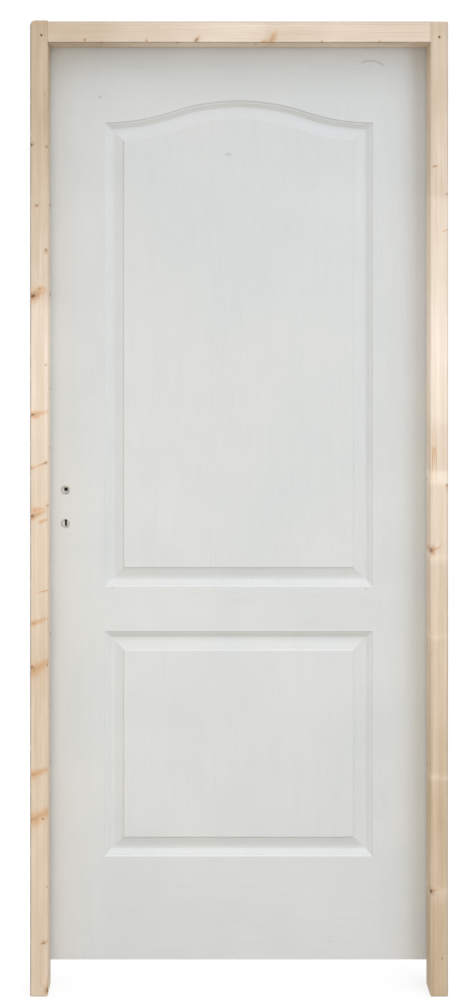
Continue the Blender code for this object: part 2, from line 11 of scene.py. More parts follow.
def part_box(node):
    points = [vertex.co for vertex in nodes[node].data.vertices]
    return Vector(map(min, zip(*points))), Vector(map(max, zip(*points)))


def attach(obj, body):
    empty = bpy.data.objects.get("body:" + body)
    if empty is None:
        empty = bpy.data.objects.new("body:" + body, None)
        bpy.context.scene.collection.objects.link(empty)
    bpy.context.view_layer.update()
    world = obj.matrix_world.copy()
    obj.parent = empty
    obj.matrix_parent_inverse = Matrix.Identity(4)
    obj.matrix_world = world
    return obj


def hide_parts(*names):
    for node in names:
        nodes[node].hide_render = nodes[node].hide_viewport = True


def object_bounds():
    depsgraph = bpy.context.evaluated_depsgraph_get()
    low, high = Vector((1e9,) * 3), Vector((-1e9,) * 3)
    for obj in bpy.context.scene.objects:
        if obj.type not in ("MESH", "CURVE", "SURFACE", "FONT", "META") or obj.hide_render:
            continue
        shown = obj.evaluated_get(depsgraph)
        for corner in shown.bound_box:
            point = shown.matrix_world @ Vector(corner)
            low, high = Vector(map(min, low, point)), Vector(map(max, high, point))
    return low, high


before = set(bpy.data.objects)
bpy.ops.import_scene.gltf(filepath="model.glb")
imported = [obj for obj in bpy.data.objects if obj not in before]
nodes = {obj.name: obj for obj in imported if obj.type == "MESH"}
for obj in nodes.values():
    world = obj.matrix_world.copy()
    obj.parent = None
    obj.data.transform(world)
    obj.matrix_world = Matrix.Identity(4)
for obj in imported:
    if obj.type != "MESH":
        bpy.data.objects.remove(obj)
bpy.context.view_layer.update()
MM = 0.001


# Camera: level, 1.5 m above the feet and 2.76 m before the frame's face, left of the door's middle. The
# picture is cut low and to the right of its axis, so the lens is shifted and not turned.
CAMERA_HEIGHT = 1500 * MM
CAMERA_FROM_LEFT = 375.5 * MM
CAMERA_DISTANCE = 2760 * MM
LENS = 46.17
SHIFT = (0.0245, -0.2)


def new_object(name, data):
    thing = bpy.data.objects.new(name, data)
    bpy.context.scene.collection.objects.link(thing)
    return thing


frame_low, frame_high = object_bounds()
left_x = frame_low.x
right_x = frame_high.x
front_y = frame_low.y
camera = new_object("camera", bpy.data.cameras.new("camera"))
camera.location = (left_x + CAMERA_FROM_LEFT, front_y - CAMERA_DISTANCE, CAMERA_HEIGHT)
camera.rotation_euler = (math.pi / 2, 0, 0)
camera.data.lens = LENS
camera.data.shift_x, camera.data.shift_y = SHIFT
bpy.context.scene.camera = camera
bpy.context.scene.view_settings.view_transform = "Standard"


# Light: a pale, cool room, bright to both sides and high in front and a little weaker overhead. Two soft
# lamps stand in front, a cool one high at the right and a warm one low at the left. The room's patches are
# mirrored behind the door, where the third lamp stands.
ROOM_COOL = (0.965, 1.0, 1.05, 1)
WHITE = (1, 1, 1, 1)
GLOW_CORE = 12.0
# Each patch: strength, degrees to the right of straight ahead, degrees up, and its reach in degrees.
GLOWS = [
    (1.08, 20.0, 51.0, 42.0),
    (1.08, 55.0, 15.0, 50.0),
    (1.08, -55.0, 15.0, 50.0),
    (0.90, 0.0, 80.0, 45.0),
]
# Each lamp: its place, its width, its power and its tint.
LAMPS = {
    "front_high_lamp": ((1.3, -2.3, 2.0), 1.2, 13.5, (0.87, 1.0, 1.13)),
    "front_low_lamp": ((-1.0, -2.4, 0.5), 1.2, 12.8, (1.10, 0.98, 0.80)),
    "back_lamp": ((-0.5, 2.9, 1.1), 1.6, 24.0, (1.0, 0.98, 0.94)),
}


def put(socket, value):
    """Plugs a socket or sets a plain value."""
    if isinstance(value, bpy.types.NodeSocket):
        socket.id_data.links.new(value, socket)
    elif value is not None:
        socket.default_value = value


def math_node(tree, operation, a, b=None, c=None):
    node = tree.nodes.new("ShaderNodeMath")
    node.operation = operation
    for socket, value in zip(node.inputs, (a, b, c)):
        put(socket, value)
    return node.outputs[0]


def times(tree, a, b):
    return math_node(tree, "MULTIPLY", a, b)


def vector_node(tree, operation, a, b=None):
    node = tree.nodes.new("ShaderNodeVectorMath")
    node.operation = operation
    put(node.inputs[0], a)
    put(node.inputs["Scale" if operation == "SCALE" else 1], b)
    return node.outputs["Value" if operation in ("LENGTH", "DOT_PRODUCT", "DISTANCE") else "Vector"]


def fade(tree, value, start, end, low=0.0, high=1.0):
    """A soft step: low where the value is at start, high where it is at end."""
    node = tree.nodes.new("ShaderNodeMapRange")
    node.interpolation_type = "SMOOTHSTEP"
    names = ("Value", "From Min", "From Max", "To Min", "To Max")
    for name, given in zip(names, (value, start, end, low, high)):
        put(node.inputs[name], given)
    return node.outputs["Result"]


def split_axes(tree, vector):
    node = tree.nodes.new("ShaderNodeSeparateXYZ")
    put(node.inputs[0], vector)
    return node.outputs


def plain_shader(tree, kind, colour):
    node = tree.nodes.new(kind)
    node.inputs["Color"].default_value = colour
    return node


def mix_shaders(tree, share, one, other):
    node = tree.nodes.new("ShaderNodeMixShader")
    put(node.inputs["Fac"], share)
    put(node.inputs[1], one.outputs[0])
    put(node.inputs[2], other.outputs[0])
    return node


def seen_directly(tree):
    """1 for rays from the camera and for those that metal and glass send on, else 0."""
    path = tree.nodes.new("ShaderNodeLightPath").outputs
    sent_on = math_node(tree, "MAXIMUM", path["Is Camera Ray"], path["Is Glossy Ray"])
    return math_node(tree, "MAXIMUM", sent_on, path["Is Transmission Ray"])


def room_brightness(tree):
    """The room's light by direction: the sum of the soft patches."""
    axes = split_axes(tree, tree.nodes.new("ShaderNodeTexCoord").outputs["Generated"])
    direction = tree.nodes.new("ShaderNodeCombineXYZ")
    put(direction.inputs["X"], axes["X"])
    put(direction.inputs["Y"], math_node(tree, "ABSOLUTE", axes["Y"]))
    put(direction.inputs["Z"], axes["Z"])
    core = math.cos(math.radians(GLOW_CORE))
    whole = 0.0
    for strength, right, up, reach in GLOWS:
        right, up = math.radians(right), math.radians(up)
        ahead = (math.cos(up) * math.sin(right), math.cos(up) * math.cos(right), math.sin(up))
        towards = vector_node(tree, "DOT_PRODUCT", direction.outputs[0], ahead)
        patch = fade(tree, towards, math.cos(math.radians(reach)), core, 0.0, strength)
        whole = math_node(tree, "ADD", patch, whole)
    return whole


for name, (place, width, power, tint) in LAMPS.items():
    lamp = new_object(name, bpy.data.lights.new(name, "AREA"))
    lamp.data.size = width
    lamp.data.energy = power
    lamp.data.color = tint
    lamp.location = place
    aim = Vector((left_x / 2, 0, place[2])) - Vector(place)
    lamp.rotation_euler = aim.to_track_quat("-Z", "Y").to_euler()

world = bpy.data.worlds.new("pale_room")
bpy.context.scene.world = world
world.use_nodes = True
room = world.node_tree
room_light = room.nodes["Background"]
room_light.inputs["Color"].default_value = ROOM_COOL
put(room_light.inputs["Strength"], room_brightness(room))
white_wall = plain_shader(room, "ShaderNodeBackground", WHITE)
shown_room = mix_shaders(room, seen_directly(room), room_light, white_wall)
put(room.nodes["World Output"].inputs["Surface"], shown_room.outputs[0])


# Floor: a wide pale sheet that looks white from the camera, keeps a faint shadow of the door, and
# throws only a little light back up.
FLOOR_REACH = 14.0
FLOOR_GREY = (0.32, 0.30, 0.26, 1)
SHADOW_SHARE = 0.25
SHADOW_CORE = 0.5
SHADOW_REACH = 2.5
SQUARE_CORNERS = [(-1, -1), (1, -1), (1, 1), (-1, 1)]

floor_mesh = bpy.data.meshes.new("floor")
floor_corners = [(x * FLOOR_REACH, y * FLOOR_REACH, 0) for x, y in SQUARE_CORNERS]
floor_mesh.from_pydata(floor_corners, [], [(0, 1, 2, 3)])
floor = new_object("floor", floor_mesh)
floor_material = bpy.data.materials.new("pale_floor")
floor_material.use_nodes = True
tree = floor_material.node_tree
tree.nodes.remove(tree.nodes["Principled BSDF"])
plain = plain_shader(tree, "ShaderNodeBsdfDiffuse", FLOOR_GREY)
shaded = plain_shader(tree, "ShaderNodeBsdfDiffuse", WHITE)
glow = plain_shader(tree, "ShaderNodeEmission", WHITE)
away = vector_node(tree, "LENGTH", tree.nodes.new("ShaderNodeTexCoord").outputs["Object"])
shown = mix_shaders(tree, fade(tree, away, SHADOW_REACH, SHADOW_CORE, 0.0, SHADOW_SHARE), glow, shaded)
choice = mix_shaders(tree, seen_directly(tree), plain, shown)
put(tree.nodes["Material Output"].inputs["Surface"], choice.outputs[0])
floor_mesh.materials.append(floor_material)


# Jambs and head: planed, unpainted pine from short finger-jointed lengths, nailed together at the corners.
# The grain runs along each board; side branches cross it as knots and long amber streaks.
def linear(red, green, blue):
    """A colour as read off a screen, 0 to 255, in the renderer's linear values."""
    def straight(value):
        value /= 255
        return value / 12.92 if value <= 0.04045 else ((value + 0.055) / 1.055) ** 2.4

    return (straight(red), straight(green), straight(blue), 1.0)


PALE_PINE = linear(251, 234, 217)
DARK_PINE = linear(204, 181, 152)
LATE_WOOD_TINT = (0.87, 0.80, 0.71, 1)
AMBER_TINT = (0.93, 0.72, 0.54, 1)
CORE_BROWN = linear(112, 76, 52)
# Painted shade on rounded arrises that turn from the light: its tint, width, and reach behind the face.
ARRIS_SHADE_TINT = (0.42, 0.41, 0.40, 1)
ARRIS_SHADE_WIDTH = 3.6 * MM
ARRIS_SHADE_BEHIND = (5 * MM, 3 * MM)
RING_WIDTH = 4.6 * MM
FIBRE_DEPTH = 0.12 * MM
FIBRE_SHADE, LATE_SHADE = 0.2, 0.8
TONE_SPREAD = 0.55
# A finger joint's line wavers by this much.
JOINT_WAVER = 16 * MM
PINE_ROUGHNESS = 0.62
# Late wood and amber hold resin, which makes them glossier.
RESIN_GLOSS = -0.12
# Waves in a metre across and along the grain: of the rings, the streaks, the patches, the fibres, and the
# ragged rims of the knots.
RING_WAVES = (26.0, 26.0, 1.6)
STREAK_WAVES = (170.0, 170.0, 3.0)
PATCH_WAVES = (30.0, 30.0, 7.0)
FIBRE_WAVES = (1500.0, 1500.0, 22.0)
FEATHER_WAVES = (420.0, 420.0, 90.0)
RING_DRIFT = 30 * MM
# A branch: its streaks' waves in a metre across and along it, how far they carry the amber, and where
# amber, core, halo and heart fade, in radii of each.
BRANCH_ACROSS, BRANCH_ALONG = 420.0, 30.0
BRANCH_CARRY = 2.8
AMBER_FADE = (1.35, 0.35)
CORE_FADE, CORE_TAPER = (1.25, 0.35), (3.0, 0.4)
HALO_FADE, HALO_TAPER, HALO_SHARE = (3.0, 0.8), (5.0, 0.5), 0.28
HEART_FADE, HEART_SIZE = (1.0, 0.2), 0.8
PUSH_REACH = 2.5


class Group:
    """A shader node group under construction, with its input and output sockets at hand."""

    def __init__(self, name, inputs, outputs):
        self.tree = bpy.data.node_groups.new(name, "ShaderNodeTree")
        for direction, sockets in (("INPUT", inputs), ("OUTPUT", outputs)):
            for socket, kind in sockets:
                self.tree.interface.new_socket(socket, in_out=direction, socket_type=f"NodeSocket{kind}")
        self.start = self.tree.nodes.new("NodeGroupInput").outputs
        self.end = self.tree.nodes.new("NodeGroupOutput").inputs


def use_group(tree, group, values):
    """Places a group in a material and fills its sockets."""
    node = tree.nodes.new("ShaderNodeGroup")
    node.node_tree = group
    for name, value in values.items():
        put(node.inputs[name], value)
    return node.outputs


def new_material(name):
    """A material with its tree, the sockets of its shader, and the place of each point."""
    material = bpy.data.materials.new(name)
    material.use_nodes = True
    tree = material.node_tree
    place = tree.nodes.new("ShaderNodeTexCoord").outputs["Object"]
    return material, tree, tree.nodes["Principled BSDF"].inputs, place


def noise(tree, place, scale, detail=2.0, roughness=0.5):
    """Soft noise. Three scales stretch it: the smallest is the way along which it is long."""
    if isinstance(scale, tuple):
        place = vector_node(tree, "MULTIPLY", place, scale)
        scale = 1.0
    node = tree.nodes.new("ShaderNodeTexNoise")
    put(node.inputs["Vector"], place)
    node.inputs["Scale"].default_value = scale
    node.inputs["Detail"].default_value = detail
    node.inputs["Roughness"].default_value = roughness
    return node.outputs


def blend(tree, share, a, b, mode="MIX"):
    node = tree.nodes.new("ShaderNodeMix")
    node.data_type = "RGBA"
    node.blend_type = mode
    put(node.inputs["Factor"], share)
    put(node.inputs[6], a)
    put(node.inputs[7], b)
    return node.outputs[2]


def stain(tree, share, colour, tint):
    """The colour with a clear tint over it."""
    return blend(tree, share, colour, blend(tree, 1.0, colour, tint, "MULTIPLY"))


def bump(tree, height, depth, strength):
    node = tree.nodes.new("ShaderNodeBump")
    node.inputs["Distance"].default_value = depth
    node.inputs["Strength"].default_value = strength
    put(node.inputs["Height"], height)
    return node.outputs["Normal"]


def make_knot_group():
    """One branch: a rod from a thick end to a thin end. Its amber patch is streaked along the branch, its
    brown core tapers off from the thick end, and it pushes the rings aside."""
    group = Group(
        "pine_branch",
        [("Position", "Vector"), ("Feather", "Float"), ("Thick End", "Vector"), ("Run", "Vector"),
         ("Thick Radius", "Float"), ("Thin Radius", "Float"), ("Core Radius", "Float"),
         ("Darkness", "Float")],
        [("Amber", "Float"), ("Brown", "Float"), ("Push", "Float")],
    )
    tree, start, end = group.tree, group.start, group.end
    from_end = vector_node(tree, "SUBTRACT", start["Position"], start["Thick End"])
    length = vector_node(tree, "LENGTH", start["Run"])
    along = math_node(tree, "DIVIDE", vector_node(tree, "DOT_PRODUCT", from_end, start["Run"]), length)
    along = math_node(tree, "MAXIMUM", math_node(tree, "MINIMUM", along, length), 0.0)
    share = math_node(tree, "DIVIDE", along, length)
    distance = vector_node(tree, "DISTANCE", from_end, vector_node(tree, "SCALE", start["Run"], share))
    thinner = math_node(tree, "SUBTRACT", start["Thin Radius"], start["Thick Radius"])
    radius = math_node(tree, "MULTIPLY_ADD", thinner, share, start["Thick Radius"])
    reach = math_node(tree, "DIVIDE", distance, radius)
    sideways = vector_node(tree, "CROSS_PRODUCT", start["Run"], (0.0, 1.0, 0.0))
    sideways = math_node(tree, "DIVIDE", vector_node(tree, "DOT_PRODUCT", from_end, sideways), length)
    streaks = tree.nodes.new("ShaderNodeTexNoise")
    streaks.noise_dimensions = "1D"
    waves_along = times(tree, along, BRANCH_ALONG)
    put(streaks.inputs["W"], math_node(tree, "MULTIPLY_ADD", sideways, BRANCH_ACROSS, waves_along))
    streak = math_node(tree, "SUBTRACT", streaks.outputs["Fac"], 0.5)
    ragged = math_node(tree, "MULTIPLY_ADD", streak, BRANCH_CARRY, reach)
    ragged = math_node(tree, "ADD", ragged, start["Feather"])
    put(end["Amber"], fade(tree, ragged, *AMBER_FADE))
    core = math_node(tree, "DIVIDE", distance, start["Core Radius"])
    core = math_node(tree, "MULTIPLY_ADD", start["Feather"], 0.7, core)
    taper = math_node(tree, "DIVIDE", along, start["Core Radius"])
    halo = fade(tree, core, *HALO_FADE)
    halo = times(tree, halo, fade(tree, taper, *HALO_TAPER, 0.0, HALO_SHARE))
    core = times(tree, fade(tree, core, *CORE_FADE), fade(tree, taper, *CORE_TAPER))
    heart = times(tree, start["Thin Radius"], HEART_SIZE)
    heart = math_node(tree, "DIVIDE", distance, heart)
    heart = fade(tree, math_node(tree, "ADD", heart, start["Feather"]), *HEART_FADE)
    heart = times(tree, heart, math_node(tree, "MULTIPLY_ADD", share, -0.2, 0.35))
    brown = math_node(tree, "MAXIMUM", math_node(tree, "MAXIMUM", core, halo), heart)
    put(end["Brown"], times(tree, brown, start["Darkness"]))
    far = math_node(tree, "DIVIDE", distance, times(tree, radius, PUSH_REACH))
    bulge = times(tree, times(tree, far, far), -1.0)
    put(end["Push"], times(tree, math_node(tree, "EXPONENT", bulge), radius))
    return group.tree


def make_dot_group():
    """A small knot cut across: a brown oval with a faint amber rim."""
    group = Group(
        "pine_dot",
        [("Position", "Vector"), ("Feather", "Float"), ("Place", "Vector"), ("Half Size", "Vector"),
         ("Darkness", "Float")],
        [("Amber", "Float"), ("Brown", "Float")],
    )
    tree, start, end = group.tree, group.start, group.end
    away = vector_node(tree, "SUBTRACT", start["Position"], start["Place"])
    away = vector_node(tree, "LENGTH", vector_node(tree, "DIVIDE", away, start["Half Size"]))
    reach = math_node(tree, "MULTIPLY_ADD", start["Feather"], 0.5, away)
    put(end["Amber"], fade(tree, reach, 2.6, 0.8, 0.0, 0.5))
    put(end["Brown"], times(tree, fade(tree, reach, 1.3, 0.3), start["Darkness"]))
    return group.tree


def make_pine_group():
    """Growth rings of uneven width round a pith line along Z, with streaks, fibres and patches."""
    group = Group(
        "pine_grain",
        [("Position", "Vector"), ("Pith", "Vector"), ("Push", "Float"), ("Ring Width", "Float")],
        [("Late", "Float"), ("Fibre", "Float"), ("Tone", "Float")],
    )
    tree, start, end = group.tree, group.start, group.end
    place = start["Position"]
    drift = vector_node(tree, "SUBTRACT", noise(tree, place, RING_WAVES, 3.0)["Color"], (0.5, 0.5, 0.5))
    moved = vector_node(tree, "ADD", place, vector_node(tree, "SCALE", drift, RING_DRIFT))
    from_pith = vector_node(tree, "SUBTRACT", moved, start["Pith"])
    from_pith = vector_node(tree, "MULTIPLY", from_pith, (1.0, 1.0, 0.0))
    reach = math_node(tree, "ADD", vector_node(tree, "LENGTH", from_pith), start["Push"])
    rings = math_node(tree, "DIVIDE", reach, start["Ring Width"])
    part = math_node(tree, "FRACT", rings)
    late = times(tree, fade(tree, part, 0.05, 0.85), fade(tree, part, 1.0, 0.9))
    year = tree.nodes.new("ShaderNodeTexWhiteNoise")
    year.noise_dimensions = "1D"
    put(year.inputs["W"], math_node(tree, "FLOOR", rings))
    put(end["Late"], times(tree, late, math_node(tree, "POWER", year.outputs["Value"], 1.6)))
    put(end["Fibre"], noise(tree, place, FIBRE_WAVES, 3.0, 0.6)["Fac"])
    streaks = noise(tree, place, STREAK_WAVES)["Fac"]
    patches = noise(tree, place, PATCH_WAVES)["Fac"]
    put(end["Tone"], math_node(tree, "SUBTRACT", math_node(tree, "ADD", streaks, patches), 1.0))
    return group.tree


knot_group = make_knot_group()
dot_group = make_dot_group()
pine_group = make_pine_group()


def board_tone_and_shade(tree, height, length, tone_and_shade_stops):
    """How pale the board is along its length, from a few (height in millimetres, tone) stops."""
    # The stops can hold painted shade as well as the board's own tone.
    ramp = tree.nodes.new("ShaderNodeValToRGB")
    put(ramp.inputs["Fac"], math_node(tree, "DIVIDE", height, length))
    stops = ramp.color_ramp.elements
    while len(stops) < len(tone_and_shade_stops):
        stops.new(0.5)
    for stop, (place, tone) in zip(stops, tone_and_shade_stops):
        stop.position = place * MM / length
        stop.color = (tone, tone, tone, 1)
    return ramp.outputs["Color"]


def painted_arris_shade(tree, place, across, behind, edge, direction, strength, width):
    """A painted shade line along one edge of the face, where its rounded arris turns from the light."""
    inwards = times(tree, math_node(tree, "SUBTRACT", across, edge), direction)
    line = fade(tree, inwards, width, width * 0.3)
    behind = math_node(tree, "SUBTRACT", behind, front_y)
    line = times(tree, line, fade(tree, behind, *ARRIS_SHADE_BEHIND))
    patchy = fade(tree, noise(tree, place, 40.0, 3.0)["Fac"], 0.2, 0.55, 0.4, strength)
    return times(tree, line, patchy)


def make_pine(name, pith, length, tone_and_shade_stops, knots, dots, shaded_edges=(), along_x=False):
    """Pine for one board. A knot is: its thick end (across, up, inwards from the face), the radius of its
    amber patch, its run (across, up, inwards), its thin end's radius, its core's radius and darkness, in
    millimetres and from 0 to 1. A dot is its place, its half sizes in the same order and its darkness.
    Shaded edges get a painted shade line on the arris: axis, place, direction, strength, width."""
    material, tree, shader, place = new_material(name)
    axes = split_axes(tree, place)
    grain_place = place
    height = axes["Z"]
    if along_x:
        turn = tree.nodes.new("ShaderNodeMapping")
        turn.inputs["Rotation"].default_value = (0, math.pi / 2, 0)
        put(turn.inputs["Vector"], place)
        grain_place = turn.outputs["Vector"]
        height = math_node(tree, "SUBTRACT", axes["X"], left_x)
    amber = brown = push = 0.0
    feather = noise(tree, grain_place, FEATHER_WAVES, 3.0, 0.6)["Fac"]
    feather = math_node(tree, "MULTIPLY_ADD", feather, 1.6, -0.8)
    for across, up, inwards, radius, run, thin, core, darkness in knots:
        knot = use_group(tree, knot_group, {
            "Position": place, "Feather": feather,
            "Thick End": (left_x + across * MM, front_y + inwards * MM, up * MM),
            "Run": (run[0] * MM, run[2] * MM, run[1] * MM), "Thick Radius": radius * MM,
            "Thin Radius": thin * MM, "Core Radius": core * MM, "Darkness": darkness,
        })
        amber = math_node(tree, "MAXIMUM", knot["Amber"], amber)
        brown = math_node(tree, "MAXIMUM", knot["Brown"], brown)
        push = math_node(tree, "ADD", knot["Push"], push)
    for (across, up, inwards), (half_across, half_up, half_inwards), darkness in dots:
        dot = use_group(tree, dot_group, {
            "Position": place, "Feather": feather,
            "Place": (left_x + across * MM, front_y + inwards * MM, up * MM),
            "Half Size": (half_across * MM, half_inwards * MM, half_up * MM), "Darkness": darkness,
        })
        amber = math_node(tree, "MAXIMUM", dot["Amber"], amber)
        brown = math_node(tree, "MAXIMUM", dot["Brown"], brown)
    grain = use_group(tree, pine_group, {
        "Position": grain_place, "Pith": pith, "Push": push, "Ring Width": RING_WIDTH,
    })
    waver = math_node(tree, "MULTIPLY_ADD", noise(tree, place, 60.0)["Fac"], JOINT_WAVER, height)
    # The board's tone along its length, with the painted shade that its stops hold.
    pale = board_tone_and_shade(tree, math_node(tree, "SUBTRACT", waver, JOINT_WAVER / 2), length, tone_and_shade_stops)
    pale = math_node(tree, "MULTIPLY_ADD", grain["Tone"], TONE_SPREAD, pale)
    colour = blend(tree, pale, DARK_PINE, PALE_PINE)
    colour.node.clamp_factor = False
    fibre = fade(tree, grain["Fibre"], 0.3, 0.7)
    late = times(tree, grain["Late"], LATE_SHADE)
    colour = stain(tree, math_node(tree, "MULTIPLY_ADD", fibre, FIBRE_SHADE, late), colour, LATE_WOOD_TINT)
    colour = stain(tree, amber, colour, AMBER_TINT)
    colour = blend(tree, brown, colour, CORE_BROWN)
    # Painted shade along the given arrises, where they turn from the light.
    for axis, *edge in shaded_edges:
        line = painted_arris_shade(tree, place, axes[axis], axes["Y"], *edge)
        colour = stain(tree, line, colour, ARRIS_SHADE_TINT)
    put(shader["Base Color"], colour)
    rough = math_node(tree, "MULTIPLY_ADD", grain["Late"], RESIN_GLOSS, PINE_ROUGHNESS)
    put(shader["Roughness"], math_node(tree, "MULTIPLY_ADD", amber, RESIN_GLOSS, rough))
    relief = math_node(tree, "MULTIPLY_ADD", grain["Late"], LATE_SHADE, grain["Fibre"])
    put(shader["Normal"], bump(tree, relief, FIBRE_DEPTH, 0.6))
    return material


# Knots and dots, set where the photograph shows them. On a side that faces the leaf, dots are long inwards.
LOCK_JAMB_KNOTS = [
    (2.6, 1834, 0, 2.6, (8, 3, 4), 0.8, 2.6, 0.9),
    (13.5, 1703, 0, 4, (8, 4, 5), 1.6, 2.2, 0.65),
    (34.4, 1608, 0, 3.6, (1, -26, 12), 2.4, 2.4, 0.55),
    (5, 1508, 0, 13.0, (24, 12, 6), 9.0, 4.2, 0.95),
    (20, 1524, 0, 6.0, (8, 3, 4), 4.0, 1.8, 0.4),
    (5, 1253, 0, 8.5, (32, 6, 4), 4.5, 2.6, 0.85),
    (10, 1248, 0, 5.0, (16, 2, 4), 3.0, 1.0, 0.2),
    (35, 1150, 0, 2, (-32, -12, 3), 2.8, 2.6, 0.6),
    (3, 1138, 0, 4.4, (14, 5, 4), 2, 1.2, 0.4),
    (4, 1034, 0, 9.0, (28, 12, 4), 5.0, 3.0, 0.9),
    (9, 1047, 0, 7.5, (25, 5, 5), 4.0, 1.2, 0.25),
    (22, 1022, 0, 4.5, (22, 8, 4), 3.0, 1.0, 0.2),
    (37, 875, 0, 2.4, (-33, -8, 3), 2.4, 1, 0.35),
    (6, 804, 0, 8.0, (34, 11, 4), 3.5, 1.6, 0.5),
    (4, 709, 0, 5.0, (5, 2, 5), 3.0, 2.6, 0.85),
    (8, 703, 0, 13.5, (36, 22, 5), 6.0, 1.6, 0.4),
    (5.5, 478, 0, 10.5, (32, 12, 3), 4.5, 1.8, 0.4),
    (8, 382, 0, 15.0, (36, 20, 6), 9.0, 2.2, 0.4),
    (28.5, 116, 0, 2.8, (15, 7, 4), 1.8, 2.4, 0.65),
    (28.5, 116, 0, 2.4, (-20, -6, 4), 1.4, 1, 0.3),
    (38, 12, 0, 6.5, (2, 36, 5), 3.0, 4.2, 0.8),
]
LOCK_JAMB_DOTS = [
    ((24.3, 2070, 0), (2.2, 2.6, 2), 0.8),
    ((31.8, 1941, 0), (1.4, 1.6, 2), 0.35),
    ((35.7, 1830, 0), (2.3, 2.8, 2), 0.7),
    ((38, 1707, 42), (3, 3.2, 9), 0.95),
    ((38, 1512, 46), (2.6, 4.5, 9), 0.7),
    ((34.4, 1360, 0), (1.6, 1.9, 2), 0.5),
    ((38, 1306, 49), (2, 2, 8), 0.7),
    ((38, 1179, 32), (1.8, 1.8, 8), 0.6),
    ((38, 1057, 6), (3, 3, 8), 0.7),
    ((38, 932, 42), (1.6, 1.6, 8), 0.5),
    ((38, 771, 49), (2.4, 2.6, 9), 0.75),
    ((36.5, 714, 0), (1.8, 2.4, 2), 0.75),
    ((38, 612, 49), (1.6, 1.6, 8), 0.5),
    ((38, 489, 49), (2.6, 2.8, 9), 0.9),
    ((27.7, 383, 0), (2.2, 2.6, 2), 0.8),
    ((36, 237, 0), (1.8, 2.2, 2), 0.6),
    ((38, 183, 49), (2.2, 2.4, 9), 0.75),
]
HINGE_JAMB_KNOTS = [
    (871.5, 1788, 0, 2.6, (-8, -1, 3), 1.6, 2.0, 0.6),
    (872, 1788, 0, 2.0, (18, 2, 4), 1.6, 1.0, 0.2),
    (897.4, 1651, 0, 2, (-28, -11, 4), 1.4, 1, 0.35),
    (870, 1180, 0, 4, (0, -40, 4), 3, 0.5, 0.1),
    (897.4, 1102, 0, 3, (0, -38, 6), 2, 1.6, 0.55),
    (863, 961, 1, 7, (0, 1, 36), 6, 6.5, 0.7),
    (865, 961, 0, 4.0, (27, 12, 4), 2.6, 1.4, 0.4),
    (865, 742, 0, 1.4, (0, -30, 3), 1.2, 1, 0.45),
    (863, 227, 1, 5, (0, 0, 26), 4, 5, 0.95),
    (866, 229, 0, 3, (22, 4, 4), 2, 1, 0.15),
]
HINGE_JAMB_DOTS = [
    ((881, 2066, 0), (2.2, 2.6, 2), 0.8),
    ((897, 1728, 0), (1.8, 2.2, 2), 0.6),
    ((866.5, 1158, 0), (0.9, 32, 2), 0.32),
    ((874.5, 1164, 0), (0.9, 30, 2), 0.26),
    ((862, 1109, 44), (1.6, 1.6, 8), 0.35),
    ((862, 486, 44), (2, 2, 8), 0.5),
    ((887, 83, 0), (1.6, 1.9, 2), 0.6),
]
HEAD_KNOTS = [
    (357.5, 2059, 0, 4, (14, 15, 6), 2.4, 3.6, 0.6),
    (452, 2054, 10, 1.6, (26, 1, 2), 1.4, 1.4, 0.45),
    (520, 2059, 0, 8, (12, 22, 6), 5, 2, 0.4),
    (500, 2056, 0, 4, (20, 2, 6), 3, 1, 0.2),
]
HEAD_DOTS = [
    ((117.9, 2060, 0), (2.3, 2.8, 2), 0.65),
    ((153.6, 2054, 5), (2.2, 2, 5), 0.75),
    ((250.7, 2058, 0), (2.3, 2.8, 2), 0.45),
    ((315.9, 2054, 5), (2.4, 2, 5), 0.5),
    ((486, 2054, 15), (2.8, 2, 5), 0.6),
    ((628.4, 2056, 0), (2.2, 2.6, 2), 0.4),
    ((752.2, 2054, 0), (2.7, 3.2, 2), 0.5),
]
# How pale each board is along its length, with painted shade towards its ends; a sharp change is a finger
# joint.
LOCK_JAMB_TONE_AND_SHADE = [
    (0, 0.44), (300, 0.40), (700, 0.38), (800, 0.52), (1070, 0.64), (1200, 0.76), (1400, 0.88),
    (1475, 0.82), (1505, 0.5), (1650, 0.32), (1800, 0.22), (1900, 0.08), (2104, 0.0),
]
HINGE_JAMB_TONE_AND_SHADE = [
    (0, 0.06), (200, 0.06), (230, 0.36), (236, 0.1), (460, 0.12), (474, 0.45), (484, 0.14), (640, 0.32),
    (765, 0.38), (772, 0.62), (785, 0.42), (930, 0.48), (946, 0.78), (958, 0.6), (1100, 0.7), (1104, 1.0),
    (1131, 1.0), (1135, 0.64), (1220, 0.7), (1250, 0.92), (1400, 1.05), (1560, 0.84), (1718, 0.76),
    (1724, 0.55), (1880, 0.38), (2100, 0.26),
]
HEAD_TONE_AND_SHADE = [
    (0, 0.3), (70, 0.3), (150, 0.24), (200, 0.46), (330, 0.74), (500, 0.72), (512, 0.56), (560, 0.6),
    (660, 0.8), (780, 0.62), (900, 0.5),
]
LONG_BOARD = 2200 * MM
HEAD_BOARD = 900 * MM
# The painted shade line under the head's lower arris is narrower.
HEAD_ARRIS_SHADE_WIDTH = 2.4 * MM

head_low, head_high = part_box("head")
